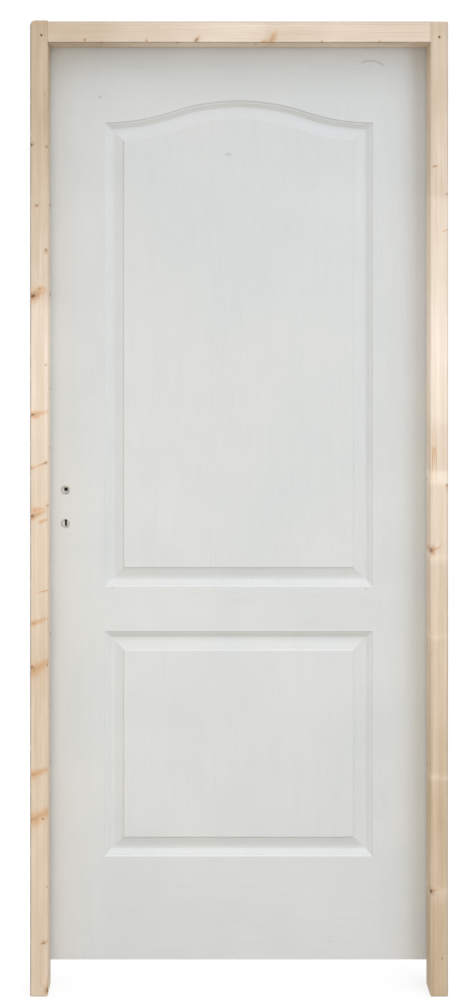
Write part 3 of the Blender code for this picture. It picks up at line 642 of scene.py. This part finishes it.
# The list after the dots gives each board's arrises with a painted shade line.
nodes["lock_jamb"].data.materials[0] = make_pine(
    "lock_jamb_pine", (left_x + 130 * MM, 45 * MM, 0), LONG_BOARD, LOCK_JAMB_TONE_AND_SHADE, LOCK_JAMB_KNOTS,
    LOCK_JAMB_DOTS, [("X", left_x, 1, 1.0, ARRIS_SHADE_WIDTH)],
)
nodes["hinge_jamb"].data.materials[0] = make_pine(
    "hinge_jamb_pine", (-110 * MM, 60 * MM, 0), LONG_BOARD, HINGE_JAMB_TONE_AND_SHADE, HINGE_JAMB_KNOTS,
    HINGE_JAMB_DOTS, [("X", right_x, -1, 0.6, ARRIS_SHADE_WIDTH)],
)
nodes["head"].data.materials[0] = make_pine(
    "head_pine", (-2160 * MM, 60 * MM, 0), HEAD_BOARD, HEAD_TONE_AND_SHADE, HEAD_KNOTS, HEAD_DOTS,
    [("Z", head_high.z, -1, 0.7, ARRIS_SHADE_WIDTH), ("Z", head_low.z, 1, 0.85, HEAD_ARRIS_SHADE_WIDTH)], along_x=True,
)


# Leaf skins: hardboard sheets pressed in one heated mould, wood grain and panel mouldings together, glued
# to both sides of the softwood frame and primed white. The front one has marks from handling.
PRIMER_WHITE = linear(223, 223, 221)
PRIMER_DULL = linear(217, 219, 218)
PORE_GREY = linear(190, 192, 190)
SMUDGE_GREY = linear(120, 122, 124)
SCUFF_GREY = linear(120, 124, 126)
BOARD_BROWN = linear(150, 138, 124)
BOARD_PALE = linear(176, 164, 148)
PORE_SHADE = 0.10
SCUFF_SHADE = 0.22
SCUFF_RAGGED = 1.5 * MM
PRIMER_PATCH = 250 * MM
EMBOSS_DEPTH = 0.15 * MM
# Waves in a metre across and along the pressed grain: of its bends, its pores and its figure, and how
# far it bends.
BEND_WAVES = (5.0, 5.0, 1.1)
PORE_WAVES = (520.0, 520.0, 14.0)
FIGURE_WAVES = (60.0, 60.0, 2.4)
GRAIN_BEND = 120 * MM
SKIN_THICKNESS = 3.2 * MM
SIDE_MARGIN = 126 * MM
UPPER_FROM_BOTTOM = 819 * MM
UPPER_FROM_TOP = 173 * MM
ARCH_RISE = 48.5 * MM
LOWER_FROM_BOTTOM = 226 * MM
LOWER_TOP_FROM_BOTTOM = 722 * MM
KEY_BELOW_SPINDLE = 74 * MM
LOCK_HOLE_RADIUS = 10 * MM
ARC_STEPS = 24
HOLE_STEPS = 48
# The moulding's corners before they are softened: how far inwards and how deep, in millimetres.
MOULDING = [
    (0, 0), (0.9, 0.2), (3.0, 3.0), (4.0, 3.4), (7.0, 3.8), (8.3, 6.3), (11.6, 6.8), (12.8, 8.9), (15, 9.4),
    (18, 9.5), (21, 9.2), (39, 3.9), (40.6, 3.8), (42.3, 0.8), (45, 0.7),
]
# The back skin is notched where the hinge plates are let into the leaf's edge.
NOTCH_PLAY = 0.3 * MM
HINGE_CAP = 5 * MM
HINGE_PLATE_DEPTH = 2.5 * MM
HINGES = ("low", "middle", "top")


def soften(points, rounds):
    """Cuts the corners of a line again and again; its ends stay."""
    for _ in range(rounds):
        cut = [points[0]]
        for (x0, y0), (x1, y1) in zip(points, points[1:]):
            cut.append((x0 * 0.75 + x1 * 0.25, y0 * 0.75 + y1 * 0.25))
            cut.append((x0 * 0.25 + x1 * 0.75, y0 * 0.25 + y1 * 0.75))
        points = cut + [points[-1]]
    return points


def circle(x, z, radius, steps):
    turns = [2 * math.pi * step / steps for step in range(steps)]
    return [(x + radius * math.cos(turn), z + radius * math.sin(turn)) for turn in turns]


def panel_edge(middle, half, bottom, corner, rise, inset):
    """The panel's outline at a distance inside its outer edge. An arch is two arcs a side: a hollow one
    that leaves the corner level and a round one over the crown, which meet halfway without a kink."""
    points = [(middle - half + inset, bottom + inset), (middle + half - inset, bottom + inset)]
    if rise == 0:
        return points + [(middle + half - inset, corner - inset), (middle - half + inset, corner - inset)]
    radius = ((half / 2) ** 2 + (rise / 2) ** 2) / rise
    turn = math.asin(half / 2 / radius)
    first = math.asin(inset / (radius + inset))
    arch = []
    for step in range(ARC_STEPS + 1):
        angle = first + (turn - first) * step / ARC_STEPS
        hollow = radius + inset
        arch.append((half - hollow * math.sin(angle), corner + radius - hollow * math.cos(angle)))
    for step in range(1, ARC_STEPS + 1):
        angle = turn * (1 - step / ARC_STEPS)
        crown = radius - inset
        arch.append((crown * math.sin(angle), corner + rise - radius + crown * math.cos(angle)))
    return points + [(middle + x, z) for x, z in arch] + [(middle - x, z) for x, z in reversed(arch[:-1])]


def close_ring(bm, corners):
    return [bm.edges.get(pair) or bm.edges.new(pair) for pair in zip(corners, corners[1:] + corners[:1])]


def bridge(bm, one, other):
    faces = []
    for index in range(len(one)):
        after = (index + 1) % len(one)
        faces.append(bm.faces.new((one[index], one[after], other[after], other[index])))
    return faces


def finish_mesh(bm, name, materials=()):
    """A plain mesh whose faces point outwards."""
    bmesh.ops.recalc_face_normals(bm, faces=bm.faces)
    mesh = bpy.data.meshes.new(name)
    bm.to_mesh(mesh)
    bm.free()
    for material in materials:
        mesh.materials.append(material)
    return mesh


def press_side(bm, sheet_edge, holes, panels, moulding, y_of_depth):
    """One face of a skin: the flat field and, in each panel, the moulding stepped down ring by ring."""
    loops = [[bm.verts.new((x, y_of_depth(0), z)) for x, z in outline] for outline in [sheet_edge, *holes]]
    border = [edge for loop in loops for edge in close_ring(bm, loop)]
    for panel in panels:
        rings = []
        for inset, depth in moulding:
            outline = panel_edge(*panel, inset * MM)
            rings.append([bm.verts.new((x, y_of_depth(depth * MM), z)) for x, z in outline])
        corners = (0, 1, 2, len(rings[0]) - 1)
        for one, other in zip(rings, rings[1:]):
            for face in bridge(bm, one, other):
                face.smooth = True
            for corner in corners:
                bm.edges.get((one[corner], other[corner])).smooth = False
        bm.faces.new(rings[-1])
        border += close_ring(bm, rings[0])
    bmesh.ops.triangle_fill(bm, use_beauty=True, edges=border)
    return loops


def press_skin(name, sheet_edge, face_y, inward, holes, panels, materials):
    """A whole sheet: the side that shows, the coarser hidden side behind it, and the cut edges between."""
    bm = bmesh.new()
    fine = soften(MOULDING, 1)
    coarse = fine[::2] + fine[-1:]
    shown = press_side(bm, sheet_edge, holes, panels, fine, lambda depth: face_y + inward * depth)
    inner_y = face_y + inward * SKIN_THICKNESS
    hidden = press_side(bm, sheet_edge, holes, panels, coarse, lambda depth: inner_y + inward * depth)
    for face in bridge(bm, shown[0], hidden[0]):
        face.material_index = 1
    for one, other in zip(shown[1:], hidden[1:]):
        bridge(bm, one, other)
    return new_object(name, finish_mesh(bm, name, materials))


def make_pressed_grain_group():
    """Wood grain pressed into the board: long fine pores that run up or across, as a height."""
    group = Group(
        "pressed_grain",
        [("Position", "Vector"), ("Across", "Float")],
        [("Height", "Float"), ("Pores", "Float")],
    )
    tree, start, end = group.tree, group.start, group.end
    axes = split_axes(tree, start["Position"])
    swap = tree.nodes.new("ShaderNodeCombineXYZ")
    for to_axis, from_axis in zip("XYZ", "ZYX"):
        put(swap.inputs[to_axis], axes[from_axis])
    turned = tree.nodes.new("ShaderNodeMix")
    turned.data_type = "VECTOR"
    put(turned.inputs["Factor"], start["Across"])
    put(turned.inputs[4], start["Position"])
    put(turned.inputs[5], swap.outputs[0])
    place = turned.outputs[1]
    bend = vector_node(tree, "SUBTRACT", noise(tree, place, BEND_WAVES, 1.0)["Color"], (0.5, 0.5, 0.5))
    bent = vector_node(tree, "ADD", place, vector_node(tree, "SCALE", bend, GRAIN_BEND))
    pores = noise(tree, bent, PORE_WAVES, 2.0, 0.6)["Fac"]
    figure = noise(tree, bent, FIGURE_WAVES)["Fac"]
    depth = times(tree, fade(tree, pores, 0.50, 0.62), fade(tree, figure, 0.35, 0.6))
    put(end["Pores"], depth)
    put(end["Height"], times(tree, depth, -1.0))
    return group.tree


def make_marks_group():
    """Slow patches from dust and handling."""
    group = Group("handling", [("Position", "Vector"), ("Patch Size", "Float")], [("Patches", "Float")])
    tree, start, end = group.tree, group.start, group.end
    finer = math_node(tree, "DIVIDE", 1.0, start["Patch Size"])
    scaled = vector_node(tree, "SCALE", start["Position"], finer)
    put(end["Patches"], noise(tree, scaled, 1.0, 3.0, 0.55)["Fac"])
    return group.tree


pressed_grain_group = make_pressed_grain_group()
marks_group = make_marks_group()


def inside(tree, value, low, high):
    above = math_node(tree, "GREATER_THAN", value, low)
    return times(tree, above, math_node(tree, "LESS_THAN", value, high))


def smudge(tree, place, x, z, radius_x, radius_z, softness=0.35):
    """1 inside a soft oval on the face of the leaf."""
    moved = vector_node(tree, "SUBTRACT", place, (x, 0, z))
    flat = vector_node(tree, "MULTIPLY", moved, (1 / radius_x, 0, 1 / radius_z))
    return fade(tree, vector_node(tree, "LENGTH", flat), 1 + softness, 1 - softness)


def scuff_arc(tree, place, axes, x, z, radius, width, low_x, high_x):
    """1 on a ragged line, the part of a circle's upper half that lies between two sides."""
    moved = vector_node(tree, "SUBTRACT", place, (x, 0, z))
    reach = vector_node(tree, "LENGTH", vector_node(tree, "MULTIPLY", moved, (1, 0, 1)))
    ragged = noise(tree, place, 900.0)["Fac"]
    off = math_node(tree, "ABSOLUTE", math_node(tree, "SUBTRACT", reach, radius))
    off = math_node(tree, "MULTIPLY_ADD", ragged, SCUFF_RAGGED, off)
    line = fade(tree, off, width / 2 + 1.2 * MM, width / 2 - 0.4 * MM)
    soft = 3 * MM
    line = times(tree, line, fade(tree, axes["X"], low_x - soft, low_x + soft))
    line = times(tree, line, fade(tree, axes["X"], high_x + soft, high_x - soft))
    return times(tree, line, math_node(tree, "GREATER_THAN", axes["Z"], z))


def make_primer(name, leaf_low, leaf_high, bands, smudges, scuff=None):
    """White primer. Bands are the heights between which the grain runs across, from stile to stile."""
    material, tree, shader, place = new_material(name)
    axes = split_axes(tree, place)
    from_middle = math_node(tree, "SUBTRACT", axes["X"], (leaf_low.x + leaf_high.x) / 2)
    reach = (leaf_high.x - leaf_low.x) / 2 - SIDE_MARGIN
    between = math_node(tree, "LESS_THAN", math_node(tree, "ABSOLUTE", from_middle), reach)
    across = 0.0
    for low, high in bands:
        band = times(tree, inside(tree, axes["Z"], low, high), between)
        across = math_node(tree, "MAXIMUM", band, across)
    grain = use_group(tree, pressed_grain_group, {"Position": place, "Across": across})
    handling = use_group(tree, marks_group, {"Position": place, "Patch Size": PRIMER_PATCH})
    colour = blend(tree, fade(tree, handling["Patches"], 0.3, 0.75), PRIMER_WHITE, PRIMER_DULL)
    colour = blend(tree, times(tree, grain["Pores"], PORE_SHADE), colour, PORE_GREY)
    for x, z, radius_x, radius_z, strength in smudges:
        spot = smudge(tree, place, x, z, radius_x, radius_z)
        colour = blend(tree, times(tree, spot, strength), colour, SMUDGE_GREY)
    if scuff:
        line = scuff_arc(tree, place, axes, *scuff)
        colour = blend(tree, times(tree, line, SCUFF_SHADE), colour, SCUFF_GREY)
    put(shader["Base Color"], colour)
    put(shader["Roughness"], math_node(tree, "MULTIPLY_ADD", handling["Patches"], 0.12, 0.40))
    put(shader["Specular IOR Level"], 0.3)
    put(shader["Normal"], bump(tree, grain["Height"], EMBOSS_DEPTH, 0.5))
    return material


def make_board_edge():
    """The board's cut edge: brown fluff with no primer on it."""
    material, tree, shader, place = new_material("board_edge")
    fluff = fade(tree, noise(tree, place, 1400.0, 3.0, 0.6)["Fac"], 0.3, 0.7)
    put(shader["Base Color"], blend(tree, fluff, BOARD_BROWN, BOARD_PALE))
    put(shader["Roughness"], 0.85)
    return material


leaf_low, leaf_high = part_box("lock_stile")[0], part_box("hinge_stile")[1]
front_face_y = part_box("front_skin")[0].y
back_face_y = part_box("back_skin")[1].y
spindle_low, spindle_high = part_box("lock_follower")
lock_x = (spindle_low.x + spindle_high.x) / 2
spindle_z = (spindle_low.z + spindle_high.z) / 2
key_z = spindle_z - KEY_BELOW_SPINDLE
panel_half = (leaf_high.x - leaf_low.x) / 2 - SIDE_MARGIN
panel_middle = (leaf_high.x + leaf_low.x) / 2
upper_bottom = leaf_low.z + UPPER_FROM_BOTTOM
upper_corner = leaf_high.z - UPPER_FROM_TOP
lower_bottom = leaf_low.z + LOWER_FROM_BOTTOM
lower_top = leaf_low.z + LOWER_TOP_FROM_BOTTOM
panels = [
    (panel_middle, panel_half, upper_bottom, upper_corner, ARCH_RISE),
    (panel_middle, panel_half, lower_bottom, lower_top, 0),
]
lock_holes = [circle(lock_x, z, LOCK_HOLE_RADIUS, HOLE_STEPS) for z in (spindle_z, key_z)]
plain_edge = [
    (leaf_low.x, leaf_low.z), (leaf_high.x, leaf_low.z),
    (leaf_high.x, leaf_high.z), (leaf_low.x, leaf_high.z),
]
notched_edge = plain_edge[:2]
inner = leaf_high.x - HINGE_PLATE_DEPTH - NOTCH_PLAY
for hinge in HINGES:
    plate_low, plate_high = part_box(f"hinge_{hinge}_leaf_half")
    foot, top = plate_low.z - NOTCH_PLAY, plate_high.z - HINGE_CAP + NOTCH_PLAY
    notched_edge += [(leaf_high.x, foot), (inner, foot), (inner, top), (leaf_high.x, top)]
notched_edge += plain_edge[2:]

cross_bands = [
    (leaf_low.z, lower_bottom), (lower_top, upper_bottom), (upper_corner + ARCH_RISE, leaf_high.z),
]
# Each smudge: its middle, its half width, its half height and its strength.
front_smudges = [
    (-0.735, 1.946, 3.5 * MM, 3.5 * MM, 0.20),
    (-0.453, 1.8205, 7.5 * MM, 4 * MM, 0.18),
    (-0.2295, 0.088, 4 * MM, 3 * MM, 0.10),
    (-0.708, 0.866, 2.0 * MM, 2.0 * MM, 0.20),
    (-0.151, 0.8645, 2.4 * MM, 2.0 * MM, 0.30),
]
# The scuff: its circle's middle and radius, its width, and the two sides between which it shows.
front_scuff = (-0.142, 1.976, 50 * MM, 5.5 * MM, -0.161, -0.111)
front_primer = make_primer("front_primer", leaf_low, leaf_high, cross_bands, front_smudges, front_scuff)
back_primer = make_primer("back_primer", leaf_low, leaf_high, cross_bands, [])
board_edge = make_board_edge()
for name, node, edge, face_y, inward, primer in (
    ("pressed_front", "front_skin", plain_edge, front_face_y, 1, front_primer),
    ("pressed_back", "back_skin", notched_edge, back_face_y, -1, back_primer),
):
    skin = press_skin(name, edge, face_y, inward, lock_holes, panels, (primer, board_edge))
    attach(skin, "leaf")
    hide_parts(node)


# Leaf core: rough-sawn softwood stiles, rails and lock block, glued between the skins. Only their edges
# show, when the leaf stands open, and the block's bores through the lock holes, with primer on them.
SAWN_TONES = [(0, 0.35), (2200, 0.45)]
stile_wood = make_pine("stile_wood", (leaf_low.x + 300 * MM, -50 * MM, 0), LONG_BOARD, SAWN_TONES, [], [])
rail_wood = make_pine("rail_wood", (-1700 * MM, 120 * MM, 0), LONG_BOARD, SAWN_TONES, [], [], along_x=True)
for node, material in (
    ("lock_stile", stile_wood), ("hinge_stile", stile_wood), ("lock_block", front_primer),
    ("top_rail", rail_wood), ("bottom_rail", rail_wood),
):
    nodes[node].data.materials[0] = material


# Lock and hinges: pressed and cut steel with a bright zinc coat, a case with a pale, dull one, and brass
# bolts. The lock sits in the leaf without handles; through the two holes only its case shows, with the
# square and the keyhole.
PLATED_PATCH = 12 * MM


def make_plated(name, colour, dull, roughness, metallic=1.0):
    """Plated metal: a faint spangle in tone and small differences of gloss."""
    material, tree, shader, place = new_material(name)
    patches = use_group(tree, marks_group, {"Position": place, "Patch Size": PLATED_PATCH})["Patches"]
    put(shader["Base Color"], blend(tree, fade(tree, patches, 0.3, 0.7), colour, dull))
    put(shader["Roughness"], math_node(tree, "MULTIPLY_ADD", patches, 0.25, roughness))
    put(shader["Metallic"], metallic)
    return material


plated_steel = make_plated("plated_steel", linear(205, 206, 204), linear(180, 181, 180), 0.22)
lock_zinc = make_plated("lock_zinc", linear(247, 247, 244), linear(240, 240, 237), 0.6, 0.0)
bolt_brass = make_plated("bolt_brass", linear(214, 184, 116), linear(190, 156, 90), 0.2)
hinge_halves = [f"hinge_{hinge}_{side}_half" for hinge in HINGES for side in ("leaf", "frame")]
for material, finished in (
    (plated_steel, [*hinge_halves, "strike_plate", "lock_faceplate"]),
    (lock_zinc, ["lock_case", "lock_follower"]),
    (bolt_brass, ["latch_bolt", "dead_bolt"]),
):
    for node in finished:
        nodes[node].data.materials[0] = material


# Lock's dark inside: two near-black pieces in the middle of the case, which are painted shade. They stand
# for the shade on the levers that fill the keyhole's depth and for the dark of the room behind the
# spindle's square, and they hang clear.
PLATE_PLAY = 0.15 * MM
PLATE_THICKNESS = 5 * MM
SQUARE_SIDE = 8 * MM
KEYHOLE_HEAD = 6.5 * MM
KEYHOLE_SLOT = 4.6 * MM
KEYHOLE_HEAD_RISE = 5.5 * MM
KEYHOLE_DROP = 7 * MM


def keyhole_outline():
    """The keyhole as it is seen from the front, a little smaller all round."""
    radius, half = KEYHOLE_HEAD / 2 - PLATE_PLAY, KEYHOLE_SLOT / 2 - PLATE_PLAY
    foot, head = key_z - KEYHOLE_DROP + PLATE_PLAY, key_z + KEYHOLE_HEAD_RISE
    first = math.acos(half / radius)
    outline = [(lock_x - half, foot), (lock_x + half, foot)]
    for step in range(ARC_STEPS + 1):
        angle = -first + (math.pi + 2 * first) * step / ARC_STEPS
        outline.append((lock_x + radius * math.cos(angle), head + radius * math.sin(angle)))
    return outline


def upright_plate(name, outline, middle_y, material):
    bm = bmesh.new()
    front, back = middle_y - PLATE_THICKNESS / 2, middle_y + PLATE_THICKNESS / 2
    near = [bm.verts.new((x, front, z)) for x, z in outline]
    far = [bm.verts.new((x, back, z)) for x, z in outline]
    bridge(bm, near, far)
    bm.faces.new(near)
    bm.faces.new(far)
    plate = new_object(name, finish_mesh(bm, name, [material]))
    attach(plate, "leaf")


# Near-black painted shade for the keyhole and the spindle's square.
painted_shade_steel = make_plated("painted_shade_steel", linear(34, 34, 36), linear(22, 22, 24), 0.75, 0.2)
case_low, case_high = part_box("lock_case")
case_y = (case_low.y + case_high.y) / 2
half = SQUARE_SIDE / 2 - PLATE_PLAY
square_outline = [(lock_x + x * half, spindle_z + z * half) for x, z in SQUARE_CORNERS]
upright_plate("spindle_painted_shade", square_outline, case_y, painted_shade_steel)
upright_plate("keyhole_painted_shade", keyhole_outline(), case_y, painted_shade_steel)


# Screws: countersunk steel with a cross recess, four in each hinge plate and two in each lock plate. One
# head is repeated over a grid of places and the row is turned to a plain mesh.
SCREW_RADIUS = 3.6 * MM
SCREW_STEPS = 24
SCREW_PROUD = 0.25 * MM
SCREW_SINK = 0.8 * MM
CROSS_LENGTH = 4.2 * MM
CROSS_WIDTH = 1.1 * MM
HINGE_SCREW_ROWS = (2, 62 * MM)
HINGE_SCREW_COLUMNS = (2, 11 * MM)
HINGE_SCREWS_BACK = 12.5 * MM
HINGE_GAP = 5 * MM
LOCK_SCREWS_FROM_ENDS = 11 * MM
FULL_TURN = (2 * math.pi, 0, 0)


def screw_head_mesh(name):
    """A domed disc, its face pointing along +X, with a cross pressed into it."""
    bm = bmesh.new()
    half, arm = CROSS_WIDTH / 2, CROSS_LENGTH / 2
    cross = [
        (half, half), (half, arm), (-half, arm), (-half, half), (-arm, half), (-arm, -half),
        (-half, -half), (-half, -arm), (half, -arm), (half, -half), (arm, -half), (arm, half),
    ]
    rim = circle(0, 0, SCREW_RADIUS, SCREW_STEPS)
    deep = [bm.verts.new((-SCREW_SINK * 0.7, y, z)) for y, z in cross]
    lip = [bm.verts.new((SCREW_PROUD, y, z)) for y, z in cross]
    outer = [bm.verts.new((SCREW_PROUD * 0.3, y, z)) for y, z in rim]
    under = [bm.verts.new((-SCREW_SINK, y, z)) for y, z in rim]
    bm.faces.new(deep)
    bridge(bm, deep, lip)
    border = close_ring(bm, lip) + close_ring(bm, outer)
    bmesh.ops.triangle_fill(bm, use_beauty=True, edges=border)
    bridge(bm, outer, under)
    bm.faces.new(under)
    return finish_mesh(bm, name)


def make_rows_tree():
    """Geometry nodes: the head that comes in is set at every point of an upright grid."""
    tree = bpy.data.node_groups.new("rows_of_heads", "GeometryNodeTree")
    for socket, kind in (
        ("Head", "Geometry"), ("Rows", "Int"), ("Columns", "Int"), ("Row Spacing", "Float"),
        ("Column Spacing", "Float"), ("Middle", "Vector"), ("Turn", "Vector"), ("Finish", "Material"),
    ):
        tree.interface.new_socket(socket, in_out="INPUT", socket_type=f"NodeSocket{kind}")
    tree.interface.new_socket("Heads", in_out="OUTPUT", socket_type="NodeSocketGeometry")
    start = tree.nodes.new("NodeGroupInput").outputs
    end = tree.nodes.new("NodeGroupOutput").inputs
    row = tree.nodes.new("GeometryNodeMeshLine")
    column = tree.nodes.new("GeometryNodeMeshLine")
    for line, count, spacing, axis in (
        (row, "Rows", "Row Spacing", "Z"), (column, "Columns", "Column Spacing", "Y"),
    ):
        put(line.inputs["Count"], start[count])
        step = tree.nodes.new("ShaderNodeCombineXYZ")
        put(step.inputs[axis], start[spacing])
        put(line.inputs["Offset"], step.outputs[0])
        back = math_node(tree, "MULTIPLY_ADD", start[count], -0.5, 0.5)
        put(line.inputs["Start Location"], vector_node(tree, "SCALE", step.outputs[0], back))
    grid = tree.nodes.new("GeometryNodeInstanceOnPoints")
    put(grid.inputs["Points"], row.outputs[0])
    put(grid.inputs["Instance"], column.outputs[0])
    spread = tree.nodes.new("GeometryNodeRealizeInstances")
    put(spread.inputs[0], grid.outputs[0])
    turn = tree.nodes.new("FunctionNodeRandomValue")
    turn.data_type = "FLOAT_VECTOR"
    turn.inputs["Seed"].default_value = 4
    put(turn.inputs["Max"], start["Turn"])
    heads = tree.nodes.new("GeometryNodeInstanceOnPoints")
    put(heads.inputs["Points"], spread.outputs[0])
    put(heads.inputs["Instance"], start["Head"])
    put(heads.inputs["Rotation"], turn.outputs["Value"])
    moved = tree.nodes.new("GeometryNodeTranslateInstances")
    put(moved.inputs["Instances"], heads.outputs[0])
    put(moved.inputs["Translation"], start["Middle"])
    moved.inputs["Local Space"].default_value = False
    real = tree.nodes.new("GeometryNodeRealizeInstances")
    put(real.inputs[0], moved.outputs[0])
    coat = tree.nodes.new("GeometryNodeSetMaterial")
    put(coat.inputs["Geometry"], real.outputs[0])
    put(coat.inputs["Material"], start["Finish"])
    put(end[0], coat.outputs[0])
    return tree


rows_tree = make_rows_tree()


def set_rows(name, head_mesh, body, middle, rows, columns, turn, finish):
    """Sets heads in a grid round its middle; rows and columns are each a number and a spacing."""
    carrier = new_object(name, head_mesh.copy())
    modifier = carrier.modifiers.new("rows", "NODES")
    modifier.node_group = rows_tree
    given = {
        "Rows": rows[0], "Columns": columns[0], "Row Spacing": rows[1], "Column Spacing": columns[1],
        "Middle": middle, "Turn": turn, "Finish": finish,
    }
    for item in rows_tree.interface.items_tree:
        if item.in_out == "INPUT" and item.name in given:
            modifier[item.identifier] = given[item.name]
    bpy.context.view_layer.update()
    evaluated = carrier.evaluated_get(bpy.context.evaluated_depsgraph_get())
    plain = bpy.data.meshes.new_from_object(evaluated)
    carrier.modifiers.remove(modifier)
    carrier.data = plain
    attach(carrier, body)


leafward = screw_head_mesh("screw_head_right")
frameward = screw_head_mesh("screw_head_left")
frameward.transform(Matrix.Rotation(math.pi, 4, "Z"))
for hinge in HINGES:
    plate_low, plate_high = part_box(f"hinge_{hinge}_leaf_half")
    middle_z = (plate_low.z + plate_high.z - HINGE_CAP) / 2
    middle_y = plate_low.y + HINGE_SCREWS_BACK
    for body, head, face_x in (
        ("leaf", leafward, leaf_high.x), ("frame", frameward, leaf_high.x + HINGE_GAP),
    ):
        set_rows(
            f"hinge_{hinge}_{body}_screws", head, body, (face_x, middle_y, middle_z),
            HINGE_SCREW_ROWS, HINGE_SCREW_COLUMNS, FULL_TURN, plated_steel,
        )
for name, node, head, body, side in (
    ("strike_screws", "strike_plate", leafward, "frame", 1),
    ("faceplate_screws", "lock_faceplate", frameward, "leaf", 0),
):
    plate_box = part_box(node)
    low, high = plate_box
    set_rows(
        name, head, body, (plate_box[side].x, (low.y + high.y) / 2, (low.z + high.z) / 2),
        (2, high.z - low.z - 2 * LOCK_SCREWS_FROM_ENDS), (1, 0), FULL_TURN, plated_steel,
    )


# Nails: one through each corner of the frame from the front, punched just below the wood. A dark ring of
# crushed wood shows round each head.
NAIL_RADIUS = 2.1 * MM
NAIL_TAPER = 0.9
NAIL_PLATE = 0.4 * MM
NAIL_SUNK = 0.05 * MM
NAIL_STEPS = 20
# Each nail: its place from the frame's left edge and its height.
CORNER_NAILS = {
    "corner_nails": (24.3 * MM, 2070 * MM),
    "hinge_corner_nail": (881 * MM, 2066 * MM),
}


def nail_head_mesh():
    bm = bmesh.new()
    bmesh.ops.create_cone(
        bm, cap_ends=True, segments=NAIL_STEPS, radius1=NAIL_RADIUS, radius2=NAIL_RADIUS * NAIL_TAPER,
        depth=NAIL_PLATE, matrix=Matrix.Rotation(math.pi / 2, 4, "X"),
    )
    return finish_mesh(bm, "nail_head")


nail_steel = make_plated("nail_steel", linear(82, 66, 54), linear(60, 46, 38), 0.5)
nail_head = nail_head_mesh()
for name, (across, height) in CORNER_NAILS.items():
    place = (left_x + across, front_y + NAIL_SUNK, height)
    set_rows(name, nail_head, "frame", place, (1, 0), (1, 0), (0, 0, 0), nail_steel)
